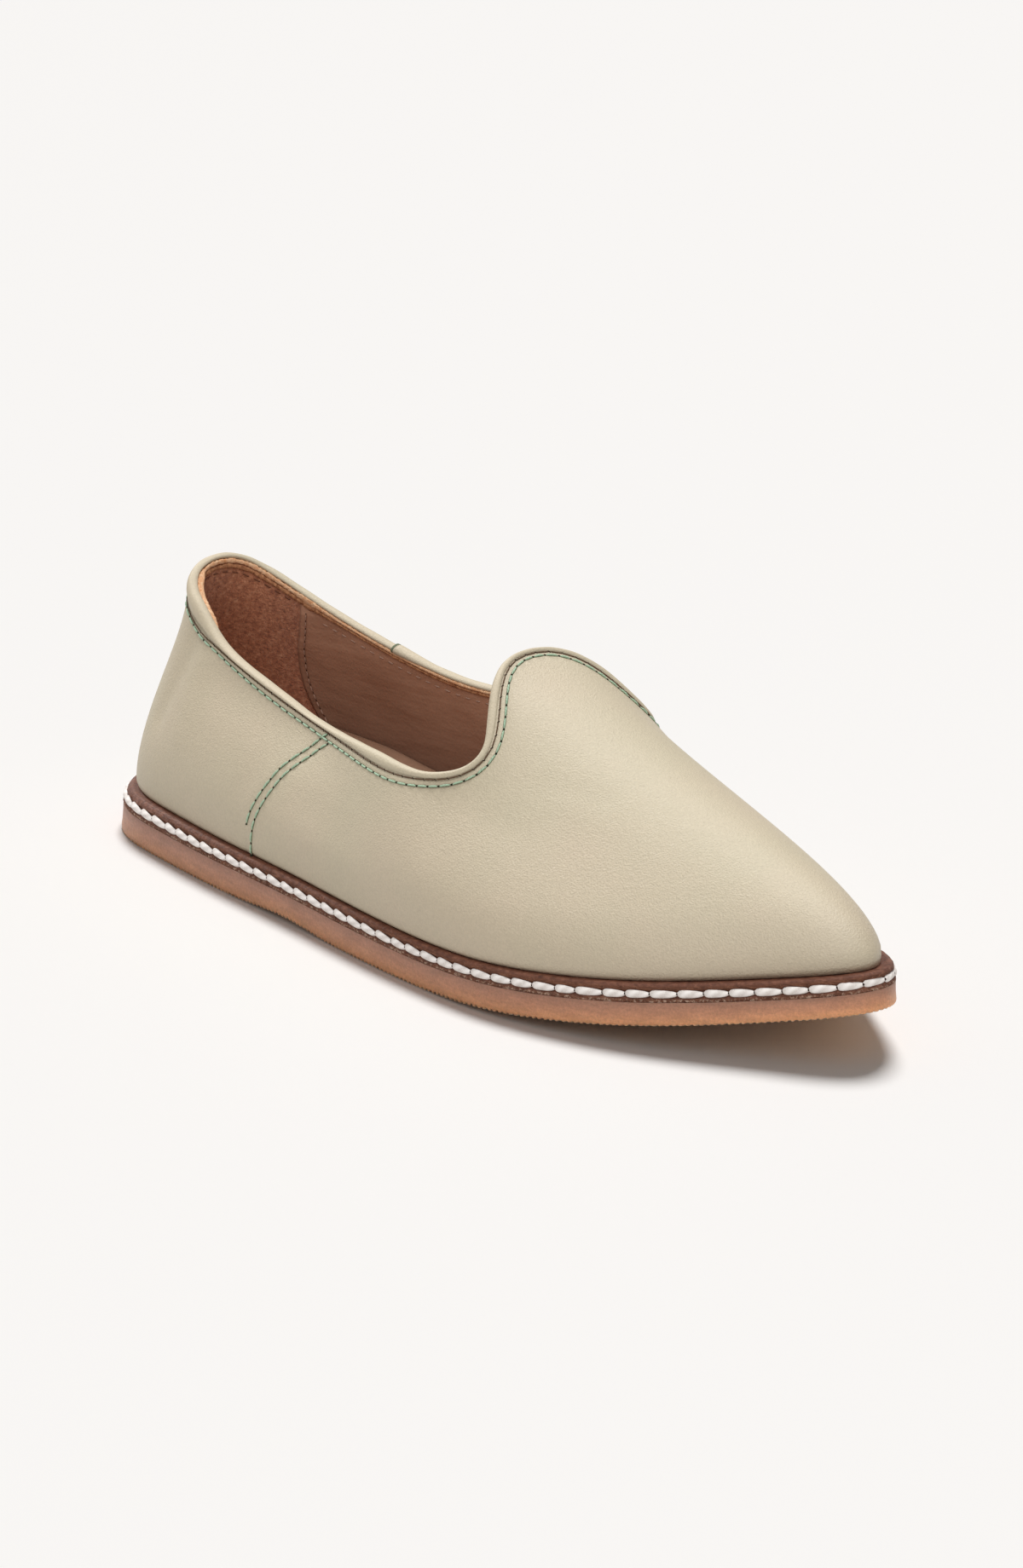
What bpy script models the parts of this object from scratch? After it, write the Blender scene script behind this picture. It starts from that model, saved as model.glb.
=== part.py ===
"""Right slip-on shoe: hollow leather upper on a stitched leather midsole and a gum rubber outsole.

Frame: +X to the toe, +Y to the wearer's left, which is the inner side of a right shoe, +Z up.
The origin lies under the middle of the shoe's box, on the floor. Sizes are in millimetres.
"""
import bmesh
import bpy
import numpy as np

METRES = 0.001

# Driving sizes of the shoe
SOLE_LENGTH = 259.0
BALL_WIDTH = 82.0
HEEL_HEIGHT = 68.0
INSTEP_HEIGHT = 69.0
WALL = 2.0
GAP = 0.3

# Sole: rubber under leather, flat under heel and forefoot, hollowed under the arch, sprung at the toe
LEATHER_THICKNESS = 4.2
ARCH_LIFT = 0.9
ARCH_BACK = 0.27
ARCH_FRONT = 0.46
SPRING_START = 0.56
TOE_SPRING = 12.2
EDGE_CHAMFER = 0.5

# Insole, its edge turned up against the wall, and the rolled strip on the collar's edge
INSOLE_PLAY = 1.2
INSOLE_TURN_UP = 2.8
INSOLE_DISH = 0.2
BINDING_HEIGHT = 2.7
BINDING_WIDTH = 3.0
BINDING_SQUARENESS = 2.3

# How finely the curves are cut
AROUND = 108
UP_THE_WALL = 13
CROWDING_AT_SOLE = 1.4
WALL_READING = 60
BINDING_SIDES = 8
SHARP_ANGLE = 40.0

# Thickness of rubber and insole and the sole's ledge around the upper, at shares of the length.
# draft is how far the sole's side leans in up to the joint, bevel up to the top of the leather.
SOLE_COLUMNS = ("along", "rubber", "ledge", "insole", "draft", "bevel")
SOLE_ROWS = (
    (0.00, 6.9, 4.2, 9.2, 0.7, 3.2),
    (0.06, 6.9, 3.9, 8.7, 0.6, 2.3),
    (0.30, 6.7, 2.6, 6.6, 0.3, 1.0),
    (0.62, 6.3, 1.4, 3.8, 0.0, 0.5),
    (1.00, 5.0, 3.5, 3.4, 0.3, 1.1),
)
BEVEL_TURN = 0.5
BEVEL_SHARE = 0.25

# Sections of the upper from the heel to the toe, one row for both sides of the shoe.
# along and rim_along are shares of the sole's length, lateral, medial and rim_out of the ball width.
# rim_up is a share of the heel height on the quarters and of the instep height on the vamp.
# rise is the wall's upright run over the sole and roll its run below the rim, shares of the instep.
# lean is the wall's outward slope at the sole, tilt the angle at the rim from upright, in degrees.
SECTION_COLUMNS = ("name", "along", "lateral", "medial", "rim_along", "rim_out", "rim_up",
                   "rise", "lean", "roll", "tilt")
QUARTER_ROWS = (
    ("heel_back",  0.017, 0.000, 0.000, 0.084, 0.000, 1.000, 0.320, 0.13, 0.195, -4.5),
    ("heel_turn",  0.054, 0.238, 0.234, 0.098, 0.139, 0.953, 0.230, 0.05, 0.207, -3.5),
    ("heel_side",  0.139, 0.338, 0.296, 0.158, 0.208, 0.854, 0.300, 0.12, 0.215, 3.0),
    ("quarter",    0.255, 0.399, 0.305, 0.247, 0.248, 0.756, 0.290, 0.15, 0.173, 6.0),
    ("waist",      0.371, 0.445, 0.320, 0.344, 0.285, 0.692, 0.262, 0.19, 0.140, 10.0),
)
VAMP_ROWS = (
    ("arch",       0.486, 0.500, 0.367, 0.421, 0.346, 0.667, 0.229, 0.21, 0.146, 22.0),
    ("ball_back",  0.602, 0.538, 0.437, 0.526, 0.392, 0.663, 0.220, 0.20, 0.222, 32.5),
    ("ball",       0.710, 0.518, 0.461, 0.585, 0.315, 0.755, 0.195, 0.18, 0.232, 28.5),
    ("ball_front", 0.819, 0.397, 0.359, 0.563, 0.207, 0.913, 0.186, 0.14, 0.544, 45.5),
    ("toe_side",   0.919, 0.198, 0.192, 0.540, 0.098, 0.988, 0.214, 0.17, 0.731, 60.0),
    ("toe",        0.983, 0.000, 0.000, 0.534, 0.000, 1.000, 0.235, 0.11, 0.742, 63.5),
)
# How far the direction away from the rim turns to the sole's own outward direction, in millimetres
OUTWARD_BIAS = 15.0
# Half the step along a loop over which its direction is read
NUDGE = 0.01

LEATHER_GREEN = (0.50, 0.48, 0.33, 1.0)
LEATHER_BROWN = (0.16, 0.07, 0.035, 1.0)
LINING_BROWN = (0.27, 0.13, 0.07, 1.0)
RUBBER_GUM = (0.38, 0.15, 0.05, 1.0)


def clear_scene():
    for thing in list(bpy.data.objects):
        bpy.data.objects.remove(thing, do_unlink=True)


# Curves

def closed_spline(stations, rows, samples):
    """Closed cubic curve through the rows, which lie at the stations, read at the samples."""
    count = len(rows)
    spans = np.diff(stations)
    here = np.arange(count)
    after = np.roll(here, -1)
    before = np.roll(here, 1)
    matrix = np.zeros((count, count))
    matrix[here, before] += spans[before]
    matrix[here, here] += 2.0 * (spans[before] + spans)
    matrix[here, after] += spans
    slopes = (rows[after] - rows) / spans[:, None]
    bends = np.linalg.solve(matrix, 6.0 * (slopes - slopes[before]))
    wrapped = np.mod(samples, stations[-1])
    span = np.clip(np.searchsorted(stations, wrapped, side="right") - 1, 0, count - 1)
    width = spans[span][:, None]
    back = (stations[span + 1] - wrapped)[:, None] / width
    front = 1.0 - back
    curve = back * rows[span] + front * rows[after[span]]
    bow = (back ** 3 - back) * bends[span] + (front ** 3 - front) * bends[after[span]]
    return curve + bow * width ** 2 / 6.0


def outward(plan_steps):
    """Unit vectors that point out of a loop, from its steps in plan, heel to toe by the -Y side."""
    turned = np.column_stack([plan_steps[:, 1], -plan_steps[:, 0]])
    return turned / np.linalg.norm(turned, axis=1)[:, None]


def loop_outward(loop):
    return outward(np.roll(loop[:, :2], -1, axis=0) - np.roll(loop[:, :2], 1, axis=0))


# Sole heights

def sole_size(x, column):
    rows = np.array(SOLE_ROWS)
    return np.interp(x / SOLE_LENGTH, rows[:, 0], rows[:, SOLE_COLUMNS.index(column)])


def spring_height(x):
    """Lift of the whole sole over the floor, from the ball to the toe."""
    past_ball = np.clip((x / SOLE_LENGTH - SPRING_START) / (1.0 - SPRING_START), 0.0, None)
    return TOE_SPRING * past_ball ** 2


def bottom_height(x):
    """Underside of the rubber, with its hollow under the arch."""
    across_arch = np.clip((x / SOLE_LENGTH - ARCH_BACK) / (ARCH_FRONT - ARCH_BACK), 0.0, 1.0)
    return spring_height(x) + ARCH_LIFT * np.sin(np.pi * across_arch) ** 2


def joint_height(x):
    """Joint between rubber and leather."""
    return spring_height(x) + sole_size(x, "rubber")


def top_height(x):
    """Top of the leather midsole, on which the upper stands."""
    return joint_height(x) + LEATHER_THICKNESS


# Sections and the upper's surface

def section_rows():
    """One dictionary for each section, with rim_up turned into a height."""
    rows = []
    for table, height in ((QUARTER_ROWS, HEEL_HEIGHT), (VAMP_ROWS, INSTEP_HEIGHT)):
        for values in table:
            row = dict(zip(SECTION_COLUMNS, values))
            row["rim_height"] = row["rim_up"] * height
            rows.append(row)
    return rows


def control_loops(samples):
    """Feather, wall, roll and rim loops of the upper, each read at the given number of samples."""
    lateral = section_rows()
    medial = lateral[-2:0:-1]
    sides = [(row, -1.0, "lateral") for row in lateral] + [(row, 1.0, "medial") for row in medial]
    plan = np.array([(row["along"] * SOLE_LENGTH, sign * row[side] * BALL_WIDTH)
                     for row, sign, side in sides])
    rim = np.array([(row["rim_along"] * SOLE_LENGTH, sign * row["rim_out"] * BALL_WIDTH,
                     row["rim_height"]) for row, sign, side in sides])
    rise, roll = (np.array([row[key] * INSTEP_HEIGHT for row, sign, side in sides])
                  for key in ("rise", "roll"))
    lean = np.array([row["lean"] for row, sign, side in sides])
    tilt = np.radians([row["tilt"] for row, sign, side in sides])

    middle = 0.5 * (plan + rim[:, :2])
    chords = np.linalg.norm(np.roll(middle, -1, axis=0) - middle, axis=1)
    stations = np.concatenate([[0.0], np.cumsum(np.sqrt(chords))])
    steps = closed_spline(stations, plan, stations[:-1] + NUDGE)
    steps = steps - closed_spline(stations, plan, stations[:-1] - NUDGE)
    side_way = outward(steps)
    rim_way = plan - rim[:, :2] + OUTWARD_BIAS * side_way
    rim_way = rim_way / np.linalg.norm(rim_way, axis=1)[:, None]

    feather = np.column_stack([plan, top_height(plan[:, 0])])
    wall = feather + rise[:, None] * np.column_stack([lean[:, None] * side_way, np.ones(len(plan))])
    drop = np.column_stack([np.sin(tilt)[:, None] * rim_way, -np.cos(tilt)])
    under_rim = rim + roll[:, None] * drop

    at = np.linspace(0.0, stations[-1], samples, endpoint=False)
    loops = [closed_spline(stations, loop, at) for loop in (feather, wall, under_rim, rim)]
    loops[0][:, 2] = top_height(loops[0][:, 0])
    return loops


def upper_surface(samples, readings):
    """Outer face of the upper as a grid of points, around the shoe and up the wall."""
    feather, wall, under_rim, rim = control_loops(samples)
    up = np.linspace(0.0, 1.0, readings)[None, :, None]
    down = 1.0 - up
    return (down ** 3 * feather[:, None] + 3.0 * up * down ** 2 * wall[:, None]
            + 3.0 * up ** 2 * down * under_rim[:, None] + up ** 3 * rim[:, None])


def surface_normals(grid):
    around = np.roll(grid, -1, axis=0) - np.roll(grid, 1, axis=0)
    upward = np.gradient(grid, axis=1)
    normals = np.cross(around, upward)
    return normals / np.linalg.norm(normals, axis=2)[:, :, None]


def run_down_from_rim(grid):
    """Length along the wall from each point of the grid up to the rim."""
    steps = np.linalg.norm(np.diff(grid, axis=1), axis=2)
    below = np.cumsum(steps[:, ::-1], axis=1)[:, ::-1]
    return np.concatenate([below, np.zeros((len(grid), 1))], axis=1)


def read_columns(grid, lengths, wanted):
    """Points of each column of the grid at the wanted lengths below the rim."""
    found = np.empty((len(grid), wanted.shape[1], 3))
    for column in range(len(grid)):
        for axis in range(3):
            found[column, :, axis] = np.interp(wanted[column], lengths[column, ::-1],
                                               grid[column, ::-1, axis])
    return found


# Meshes

def principled(name, colour, roughness):
    material = bpy.data.materials.new(name)
    material.use_nodes = True
    shader = material.node_tree.nodes["Principled BSDF"]
    shader.inputs["Base Color"].default_value = colour
    shader.inputs["Roughness"].default_value = roughness
    shader.inputs["Metallic"].default_value = 0.0
    return material


def solid(name, points, faces, material, shift):
    """Closed mesh object from points in millimetres, its faces turned outwards."""
    mesh = bpy.data.meshes.new(name)
    mesh.from_pydata([tuple(point) for point in (points + shift) * METRES], [], faces)
    shape = bmesh.new()
    shape.from_mesh(mesh)
    bmesh.ops.triangulate(shape, faces=shape.faces)
    bmesh.ops.recalc_face_normals(shape, faces=shape.faces)
    shape.to_mesh(mesh)
    shape.free()
    mesh.materials.append(material)
    mesh.shade_smooth()
    mesh.set_sharp_from_angle(angle=np.radians(SHARP_ANGLE))
    item = bpy.data.objects.new(name, mesh)
    bpy.context.scene.collection.objects.link(item)
    return item


def tube_faces(rings, count):
    """Quads between loops of equal count, given as the loops' first indices, the last to the first."""
    faces = []
    for first, second in zip(rings, rings[1:] + rings[:1]):
        for i in range(count):
            j = (i + 1) % count
            faces.append((first + i, first + j, second + j, second + i))
    return faces


def cap_faces(first, count):
    """Faces across a loop, each between a point and its partner on the shoe's other side."""
    faces = []
    for i in range(count // 2):
        partner = (count - i) % count
        following = count - i - 1
        corners = [first + i, first + i + 1, first + following, first + partner]
        faces.append(tuple(dict.fromkeys(corners)))
    return faces


def plate(name, loops, material, shift):
    """Closed plate through a stack of loops from its underside to its top."""
    count = len(loops[0])
    starts = [level * count for level in range(len(loops))]
    faces = tube_faces(starts, count)[:-count]
    faces += cap_faces(starts[0], count) + cap_faces(starts[-1], count)
    return solid(name, np.vstack(loops), faces, material, shift)


def at_height(plan, heights):
    return np.column_stack([plan, heights])


# The pieces

def sole_outline(samples):
    """Edge of the sole in plan: the feather line moved out by the ledge."""
    feather = control_loops(samples)[0]
    ledge = sole_size(feather[:, 0], "ledge")
    return feather[:, :2] + ledge[:, None] * loop_outward(feather)


def leaned_in(outline, share):
    """Sole's edge moved in by its draft at the joint and on to its bevel at the top."""
    draft = sole_size(outline[:, 0], "draft")
    bevel = sole_size(outline[:, 0], "bevel")
    return outline - (draft + share * (bevel - draft))[:, None] * loop_outward(outline)


def make_outsole(outline, shift):
    inside = outline - EDGE_CHAMFER * loop_outward(outline)
    x = outline[:, 0]
    joint = leaned_in(outline, 0.0)
    loops = [at_height(inside, bottom_height(inside[:, 0])),
             at_height(outline, bottom_height(x) + EDGE_CHAMFER),
             at_height(joint, joint_height(joint[:, 0]) - GAP)]
    return plate("outsole", loops, principled("gum_rubber", RUBBER_GUM, 0.45), shift)


def make_midsole(outline, shift):
    loops = []
    for level, share in ((0.0, 0.0), (BEVEL_TURN, BEVEL_SHARE), (1.0, 1.0)):
        plan = leaned_in(outline, share)
        loops.append(at_height(plan, joint_height(plan[:, 0]) + level * LEATHER_THICKNESS))
    return plate("midsole", loops, principled("sole_leather", LEATHER_BROWN, 0.6), shift)


def wall_inside(heights):
    """Outline of the room inside the wall, at a height for each column of the wall."""
    grid = upper_surface(AROUND, WALL_READING)
    inner = grid - (WALL + INSOLE_PLAY) * surface_normals(grid)
    plan = [[np.interp(height, column[:, 2], column[:, axis]) for axis in range(2)]
            for column, height in zip(inner, heights)]
    return np.array(plan)


def insole_height(x):
    """Top of the insole in its middle."""
    return top_height(x) + GAP + sole_size(x, "insole")


def make_insole(feather, shift):
    """Footbed that fills the room inside the wall, dished towards its middle."""
    under = top_height(feather[:, 0]) + GAP
    edge = insole_height(feather[:, 0]) + INSOLE_TURN_UP
    outline = wall_inside(edge)
    inside = outline - EDGE_CHAMFER * loop_outward(outline)
    middle = inside.mean(axis=0)
    dish = middle + (1.0 - INSOLE_DISH) * (inside - middle)
    loops = [at_height(wall_inside(under), under),
             at_height(outline, edge - EDGE_CHAMFER),
             at_height(inside, edge),
             at_height(dish, insole_height(dish[:, 0]))]
    return plate("insole", loops, principled("insole_leather", LINING_BROWN, 0.5), shift)


def make_upper(shift):
    """Hollow wall, open at the collar and underneath, ending under the rolled strip."""
    grid = upper_surface(AROUND, WALL_READING)
    lengths = run_down_from_rim(grid)
    shares = 1.0 - np.linspace(0.0, 1.0, UP_THE_WALL + 1) ** CROWDING_AT_SOLE
    end = BINDING_HEIGHT + GAP
    wanted = end + shares[None, :] * (lengths[:, :1] - end)
    normals = surface_normals(grid)
    outer = read_columns(grid, lengths, wanted)
    inner = read_columns(grid - WALL * normals, lengths, wanted)
    outer[:, 0, 2] += GAP
    inner[:, 0, 2] = outer[:, 0, 2]
    rings = [outer[:, level] for level in range(UP_THE_WALL + 1)]
    rings += [inner[:, level] for level in range(UP_THE_WALL, -1, -1)]
    starts = [level * AROUND for level in range(len(rings))]
    material = principled("upper_leather", LEATHER_GREEN, 0.45)
    return solid("upper", np.vstack(rings), tube_faces(starts, AROUND), material, shift)


def make_binding(shift):
    """Rolled strip that sits on the upper's edge all round the collar."""
    grid = upper_surface(AROUND, WALL_READING)
    lengths = run_down_from_rim(grid)
    half = np.full((AROUND, 1), 0.5 * BINDING_HEIGHT)
    normals = surface_normals(grid)
    outer = read_columns(grid, lengths, half)[:, 0]
    inner = read_columns(grid - WALL * normals, lengths, half)[:, 0]
    middle = 0.5 * (outer + inner)
    across = (outer - inner) / WALL
    upward = grid[:, -1] - outer
    upward = upward / np.linalg.norm(upward, axis=1)[:, None]
    rings = []
    for side in range(BINDING_SIDES):
        angle = 2.0 * np.pi * (side + 0.5) / BINDING_SIDES
        power = 2.0 / BINDING_SQUARENESS
        wide = np.sign(np.cos(angle)) * abs(np.cos(angle)) ** power
        high = np.sign(np.sin(angle)) * abs(np.sin(angle)) ** power
        rings.append(middle + 0.5 * BINDING_WIDTH * wide * across + 0.5 * BINDING_HEIGHT * high * upward)
    starts = [side * AROUND for side in range(BINDING_SIDES)]
    material = principled("binding_leather", LEATHER_GREEN, 0.45)
    return solid("topline_binding", np.vstack(rings), tube_faces(starts, AROUND), material, shift)


def main():
    clear_scene()
    outline = sole_outline(AROUND)
    feather = control_loops(AROUND)[0]
    centre = 0.5 * (outline.min(axis=0) + outline.max(axis=0))
    shift = np.array([-centre[0], -centre[1], 0.0])
    make_outsole(outline, shift)
    make_midsole(outline, shift)
    make_insole(feather, shift)
    make_upper(shift)
    make_binding(shift)


main()
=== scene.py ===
"""Looks of the right slip-on shoe: leather upper, rolled binding, linings, stitched sole.

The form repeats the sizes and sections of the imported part. Sizes are in millimetres.
+X to the toe, +Y to the inner side of the foot, +Z up, heel at 0 until the last shift.
"""

import bpy
import numpy as np
from mathutils import Matrix


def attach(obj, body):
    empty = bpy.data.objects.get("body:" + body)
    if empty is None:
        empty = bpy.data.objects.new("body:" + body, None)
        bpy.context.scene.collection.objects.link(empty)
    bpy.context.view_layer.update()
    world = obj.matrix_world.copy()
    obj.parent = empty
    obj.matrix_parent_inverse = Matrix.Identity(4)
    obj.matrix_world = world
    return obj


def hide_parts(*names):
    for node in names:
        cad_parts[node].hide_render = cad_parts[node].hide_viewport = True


METRES = 0.001

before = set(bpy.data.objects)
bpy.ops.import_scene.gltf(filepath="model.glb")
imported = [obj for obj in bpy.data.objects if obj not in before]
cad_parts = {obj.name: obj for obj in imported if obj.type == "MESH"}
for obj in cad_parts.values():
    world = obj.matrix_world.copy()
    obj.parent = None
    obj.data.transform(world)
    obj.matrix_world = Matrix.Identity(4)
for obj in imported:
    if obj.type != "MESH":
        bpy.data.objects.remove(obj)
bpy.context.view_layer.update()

# Driving sizes of the shoe
SOLE_LENGTH = 259.0
BALL_WIDTH = 82.0
HEEL_HEIGHT = 68.0
INSTEP_HEIGHT = 69.0
WALL = 2.0
GAP = 0.3
LEATHER_THICKNESS = 4.2
ARCH_LIFT = 0.9
ARCH_BACK = 0.27
ARCH_FRONT = 0.46
SPRING_START = 0.56
TOE_SPRING = 12.2
PART_AROUND = 108

# Thickness of rubber and insole and the sole's ledge around the upper, at shares of the length.
# draft is how far the sole's side leans in up to the joint, bevel up to the top of the leather.
SOLE_COLUMNS = ("along", "rubber", "ledge", "insole", "draft", "bevel")
SOLE_ROWS = (
    (0.00, 6.9, 4.2, 9.2, 0.7, 3.2),
    (0.06, 6.9, 3.9, 8.7, 0.6, 2.3),
    (0.30, 6.7, 2.6, 6.6, 0.3, 1.0),
    (0.62, 6.3, 1.4, 3.8, 0.0, 0.5),
    (1.00, 5.0, 3.5, 3.4, 0.3, 1.1),
)
BEVEL_POWER = 2.2
SOLE_EASING = 14.0
EASING_READINGS = 9

# Sections of the upper from heel to toe, as in the part
SECTION_COLUMNS = ("name", "along", "lateral", "medial", "rim_along", "rim_out", "rim_up",
                   "rise", "lean", "roll", "tilt")
QUARTER_ROWS = (
    ("heel_back",  0.017, 0.000, 0.000, 0.084, 0.000, 1.000, 0.320, 0.13, 0.195, -4.5),
    ("heel_turn",  0.054, 0.238, 0.234, 0.098, 0.139, 0.953, 0.230, 0.05, 0.207, -3.5),
    ("heel_side",  0.139, 0.338, 0.296, 0.158, 0.208, 0.854, 0.300, 0.12, 0.215, 3.0),
    ("quarter",    0.255, 0.399, 0.305, 0.247, 0.248, 0.756, 0.290, 0.15, 0.173, 6.0),
    ("waist",      0.371, 0.445, 0.320, 0.344, 0.285, 0.692, 0.262, 0.19, 0.140, 10.0),
)
VAMP_ROWS = (
    ("arch",       0.486, 0.500, 0.367, 0.421, 0.346, 0.667, 0.229, 0.21, 0.146, 22.0),
    ("ball_back",  0.602, 0.538, 0.437, 0.526, 0.392, 0.663, 0.220, 0.20, 0.222, 32.5),
    ("ball",       0.710, 0.518, 0.461, 0.585, 0.315, 0.755, 0.195, 0.18, 0.232, 28.5),
    ("ball_front", 0.819, 0.397, 0.359, 0.563, 0.207, 0.913, 0.186, 0.14, 0.544, 45.5),
    ("toe_side",   0.919, 0.198, 0.192, 0.540, 0.098, 0.988, 0.214, 0.17, 0.731, 60.0),
    ("toe",        0.983, 0.000, 0.000, 0.534, 0.000, 1.000, 0.235, 0.11, 0.742, 63.5),
)
OUTWARD_BIAS = 15.0
NUDGE = 0.01

# How finely the upper's face is read, around and up the wall, and how many columns to either
# side the nearest point of the rim is looked for. RIM_STEPS below the rim tell which way is down.
AROUND = 720
READINGS = 160
UP_STEPS = 240
RIM_REACH = AROUND // 8
RIM_STEPS = 8
DISTANCE_BATCHES = 40

# Rolled binding: its inside ends higher than its outside, which runs down to the brown row.
# Its last columns grow thicker and lap over its start, and a dark line of painted shade marks the cut end.
BEAD_INSIDE = 1.4
BEAD_WIDTH = 2.8
BEAD_END = 0.8417
BEAD_SIDES = 20
BEAD_UNEVEN = 0.025
BEAD_WAVES = (3, 5, 9, 14, 23, 37)
LAP_COLUMNS = 24
LAP_GROWTH = (-0.1, 0.55)
LAP_ROUNDING = 0.12
CUT_GROWTH = (0.02, 0.48)

# Thread rows round the collar: distances from the rim at shares around, the same on both sides
ROW_COLUMNS = ("around", "brown", "green")
ROW_ROWS = (
    (0.000, 4.5, 5.5),
    (0.090, 4.5, 5.4),
    (0.115, 4.0, 5.2),
    (0.150, 3.1, 4.6),
    (0.220, 2.8, 4.4),
    (0.270, 2.2, 4.1),
    (0.330, 2.0, 3.7),
    (0.420, 2.0, 3.6),
    (0.500, 1.7, 2.9),
)
ROW_EASING = AROUND // 40

# Grooves along these rows: row, depth and half width
ROW_GROOVES = (("brown", 0.26, 0.45), ("green", 0.12, 0.8))

# Waviness of the outer side's collar edge: share around, lift over the part's rim
COLLAR_ROWS = (
    (0.080, 0.0),
    (0.104, -2.3),
    (0.124, -2.4),
    (0.150, -1.7),
    (0.175, -1.5),
    (0.200, -1.9),
    (0.233, -1.2),
    (0.255, -0.5),
    (0.270, 0.2),
    (0.294, 1.1),
    (0.309, 0.8),
    (0.325, 0.0),
)
COLLAR_EASING = 6
COLLAR_START = 0.55

# Leather of the upper: rings of its face up to the collar's band, closer ones in that band,
# which is measured from the rim, and the tuck where it meets the sole
UPPER_THICKNESS = 1.1
WALL_RINGS = 62
COLLAR_BAND = 9.0
COLLAR_BAND_END = 0.9
COLLAR_RING = 0.42
INNER_RINGS = 10
TUCK_DEPTH = 0.5
TUCK_REACH = 0.02
FOOT_LIFT = 0.1

# Linings: depth of their face under the outer skin, the distance from the rim where they end,
# and the lap of the smooth one over the suede
LINING_FACE = 2.1
LINING_OVER = 0.1
SHEET_TOP = 1.4
SHEET_REAR = UPPER_THICKNESS + 0.05
SHEET_LEVELS = 44
SUEDE_COLUMNS = 150
LINING_COLUMNS = 420
SUEDE_LAP = 0.004
LAP_HALF = 0.008
LAP_RISE = 0.5
LAP_FADE = 0.09

# Seam inside between heel suede and smooth lining: share around, drop below the rim
HEEL_SEAM_ROWS = (
    (0.9130, 2.0),
    (0.9135, 4.3),
    (0.9160, 10.6),
    (0.9190, 16.1),
    (0.9190, 22.5),
    (0.9170, 27.0),
    (0.9125, 31.1),
    (0.9080, 33.4),
    (0.9010, 38.0),
    (0.8950, 46.0),
)
HEEL_SEAM_LAP = 0.0042
HEEL_ROW_ENDS = (0.90, 0.15)
HEEL_ROW_OFFSET = 0.0015
HEEL_ROW_DEPTH = 0.75

# Raw tan edge under the binding on the inside: its top and foot as distances from the rim,
# its depth under the skin and how far it stands out beside the heel. Spans are shares around:
# start, fade in, end and fade out.
RAW_TOP = 1.0
RAW_FOOT = 2.6
RAW_FOOT_HEEL = 3.3
RAW_DEPTH = 2.3
RAW_STANDS_OUT = 1.2
RAW_OUT_SPAN = (0.02, 0.02, 0.098, 0.015)
RAW_HEEL_END = 0.125
RAW_HEEL_FADE = 0.045
RAW_SPLIT = 0.08
CORD_SIDES = 10
CORD_SQUARE = 0.6
RAGGED = 0.26
RAGGED_WAVES = range(20, 300, 13)
FRAYED = 0.7
FRAYED_PLACE = 0.911
FRAYED_HALF = 0.006

# Side seam, its middle line: share around, share up the wall; mirrored on the inner side
SEAM_ROWS = (
    (0.2290, 0.935),
    (0.2207, 0.89),
    (0.2044, 0.72),
    (0.1932, 0.58),
    (0.1836, 0.41),
    (0.1765, 0.27),
    (0.1738, 0.19),
    (0.1720, 0.09),
    (0.1710, 0.01),
)
SEAM_HALF = 1.35
SEAM_HEEL_ROW_END = 0.17
SEAM_POINTS = 90
SEAM_EASING = 4
SEAM_GROOVE = 0.16
SEAM_GROOVE_HALF = 0.9
GREEN_PITCH = 3.3

# Soft troughs in the upper: start and end in shares around and up, half width and depth
CREASE_COLUMNS = ("around_start", "up_start", "around_end", "up_end", "half_width", "depth")
CREASE_ROWS = (
    (0.080, 0.86, 0.070, 0.41, 4.0, 0.75),
    (0.094, 0.78, 0.100, 0.43, 5.0, -0.40),
    (0.180, 0.62, 0.160, 0.30, 4.0, 0.15),
    (0.210, 0.45, 0.256, 0.43, 5.0, 0.20),
    (0.225, 0.30, 0.270, 0.26, 4.0, -0.12),
    (0.372, 0.70, 0.395, 0.58, 5.0, 0.16),
    (0.430, 0.66, 0.455, 0.55, 3.5, 0.10),
    (0.425, 0.60, 0.447, 0.50, 3.5, -0.08),
    (0.345, 0.93, 0.330, 0.62, 7.0, 0.30),
    (0.660, 0.93, 0.680, 0.62, 7.0, 0.30),
)
CREASE_POINTS = 24

# Camera of the photograph, in the part's frame, with angles in degrees
PHOTO_HEIGHT = 1840.0
FOCAL_PIXELS = 7397.5
SENSOR = 36.0
CAMERA_AZIMUTH = 49.24
CAMERA_ELEVATION = 17.24
CAMERA_DISTANCE = 1489.7
CAMERA_TARGET = (120.96, 10.22, 30.0)


# Curves and the form of the shoe

def closed_spline(stations, rows, samples):
    """Closed cubic curve through the rows, which lie at the stations, read at the samples."""
    count = len(rows)
    spans = np.diff(stations)
    here = np.arange(count)
    after = np.roll(here, -1)
    before = np.roll(here, 1)
    matrix = np.zeros((count, count))
    matrix[here, before] += spans[before]
    matrix[here, here] += 2.0 * (spans[before] + spans)
    matrix[here, after] += spans
    slopes = (rows[after] - rows) / spans[:, None]
    bends = np.linalg.solve(matrix, 6.0 * (slopes - slopes[before]))
    wrapped = np.mod(samples, stations[-1])
    span = np.clip(np.searchsorted(stations, wrapped, side="right") - 1, 0, count - 1)
    width = spans[span][:, None]
    back = (stations[span + 1] - wrapped)[:, None] / width
    front = 1.0 - back
    curve = back * rows[span] + front * rows[after[span]]
    bow = (back ** 3 - back) * bends[span] + (front ** 3 - front) * bends[after[span]]
    return curve + bow * width ** 2 / 6.0


def unit(vectors):
    return vectors / np.linalg.norm(vectors, axis=-1, keepdims=True)


def lengths(vectors):
    return np.linalg.norm(vectors, axis=-1)


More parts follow.
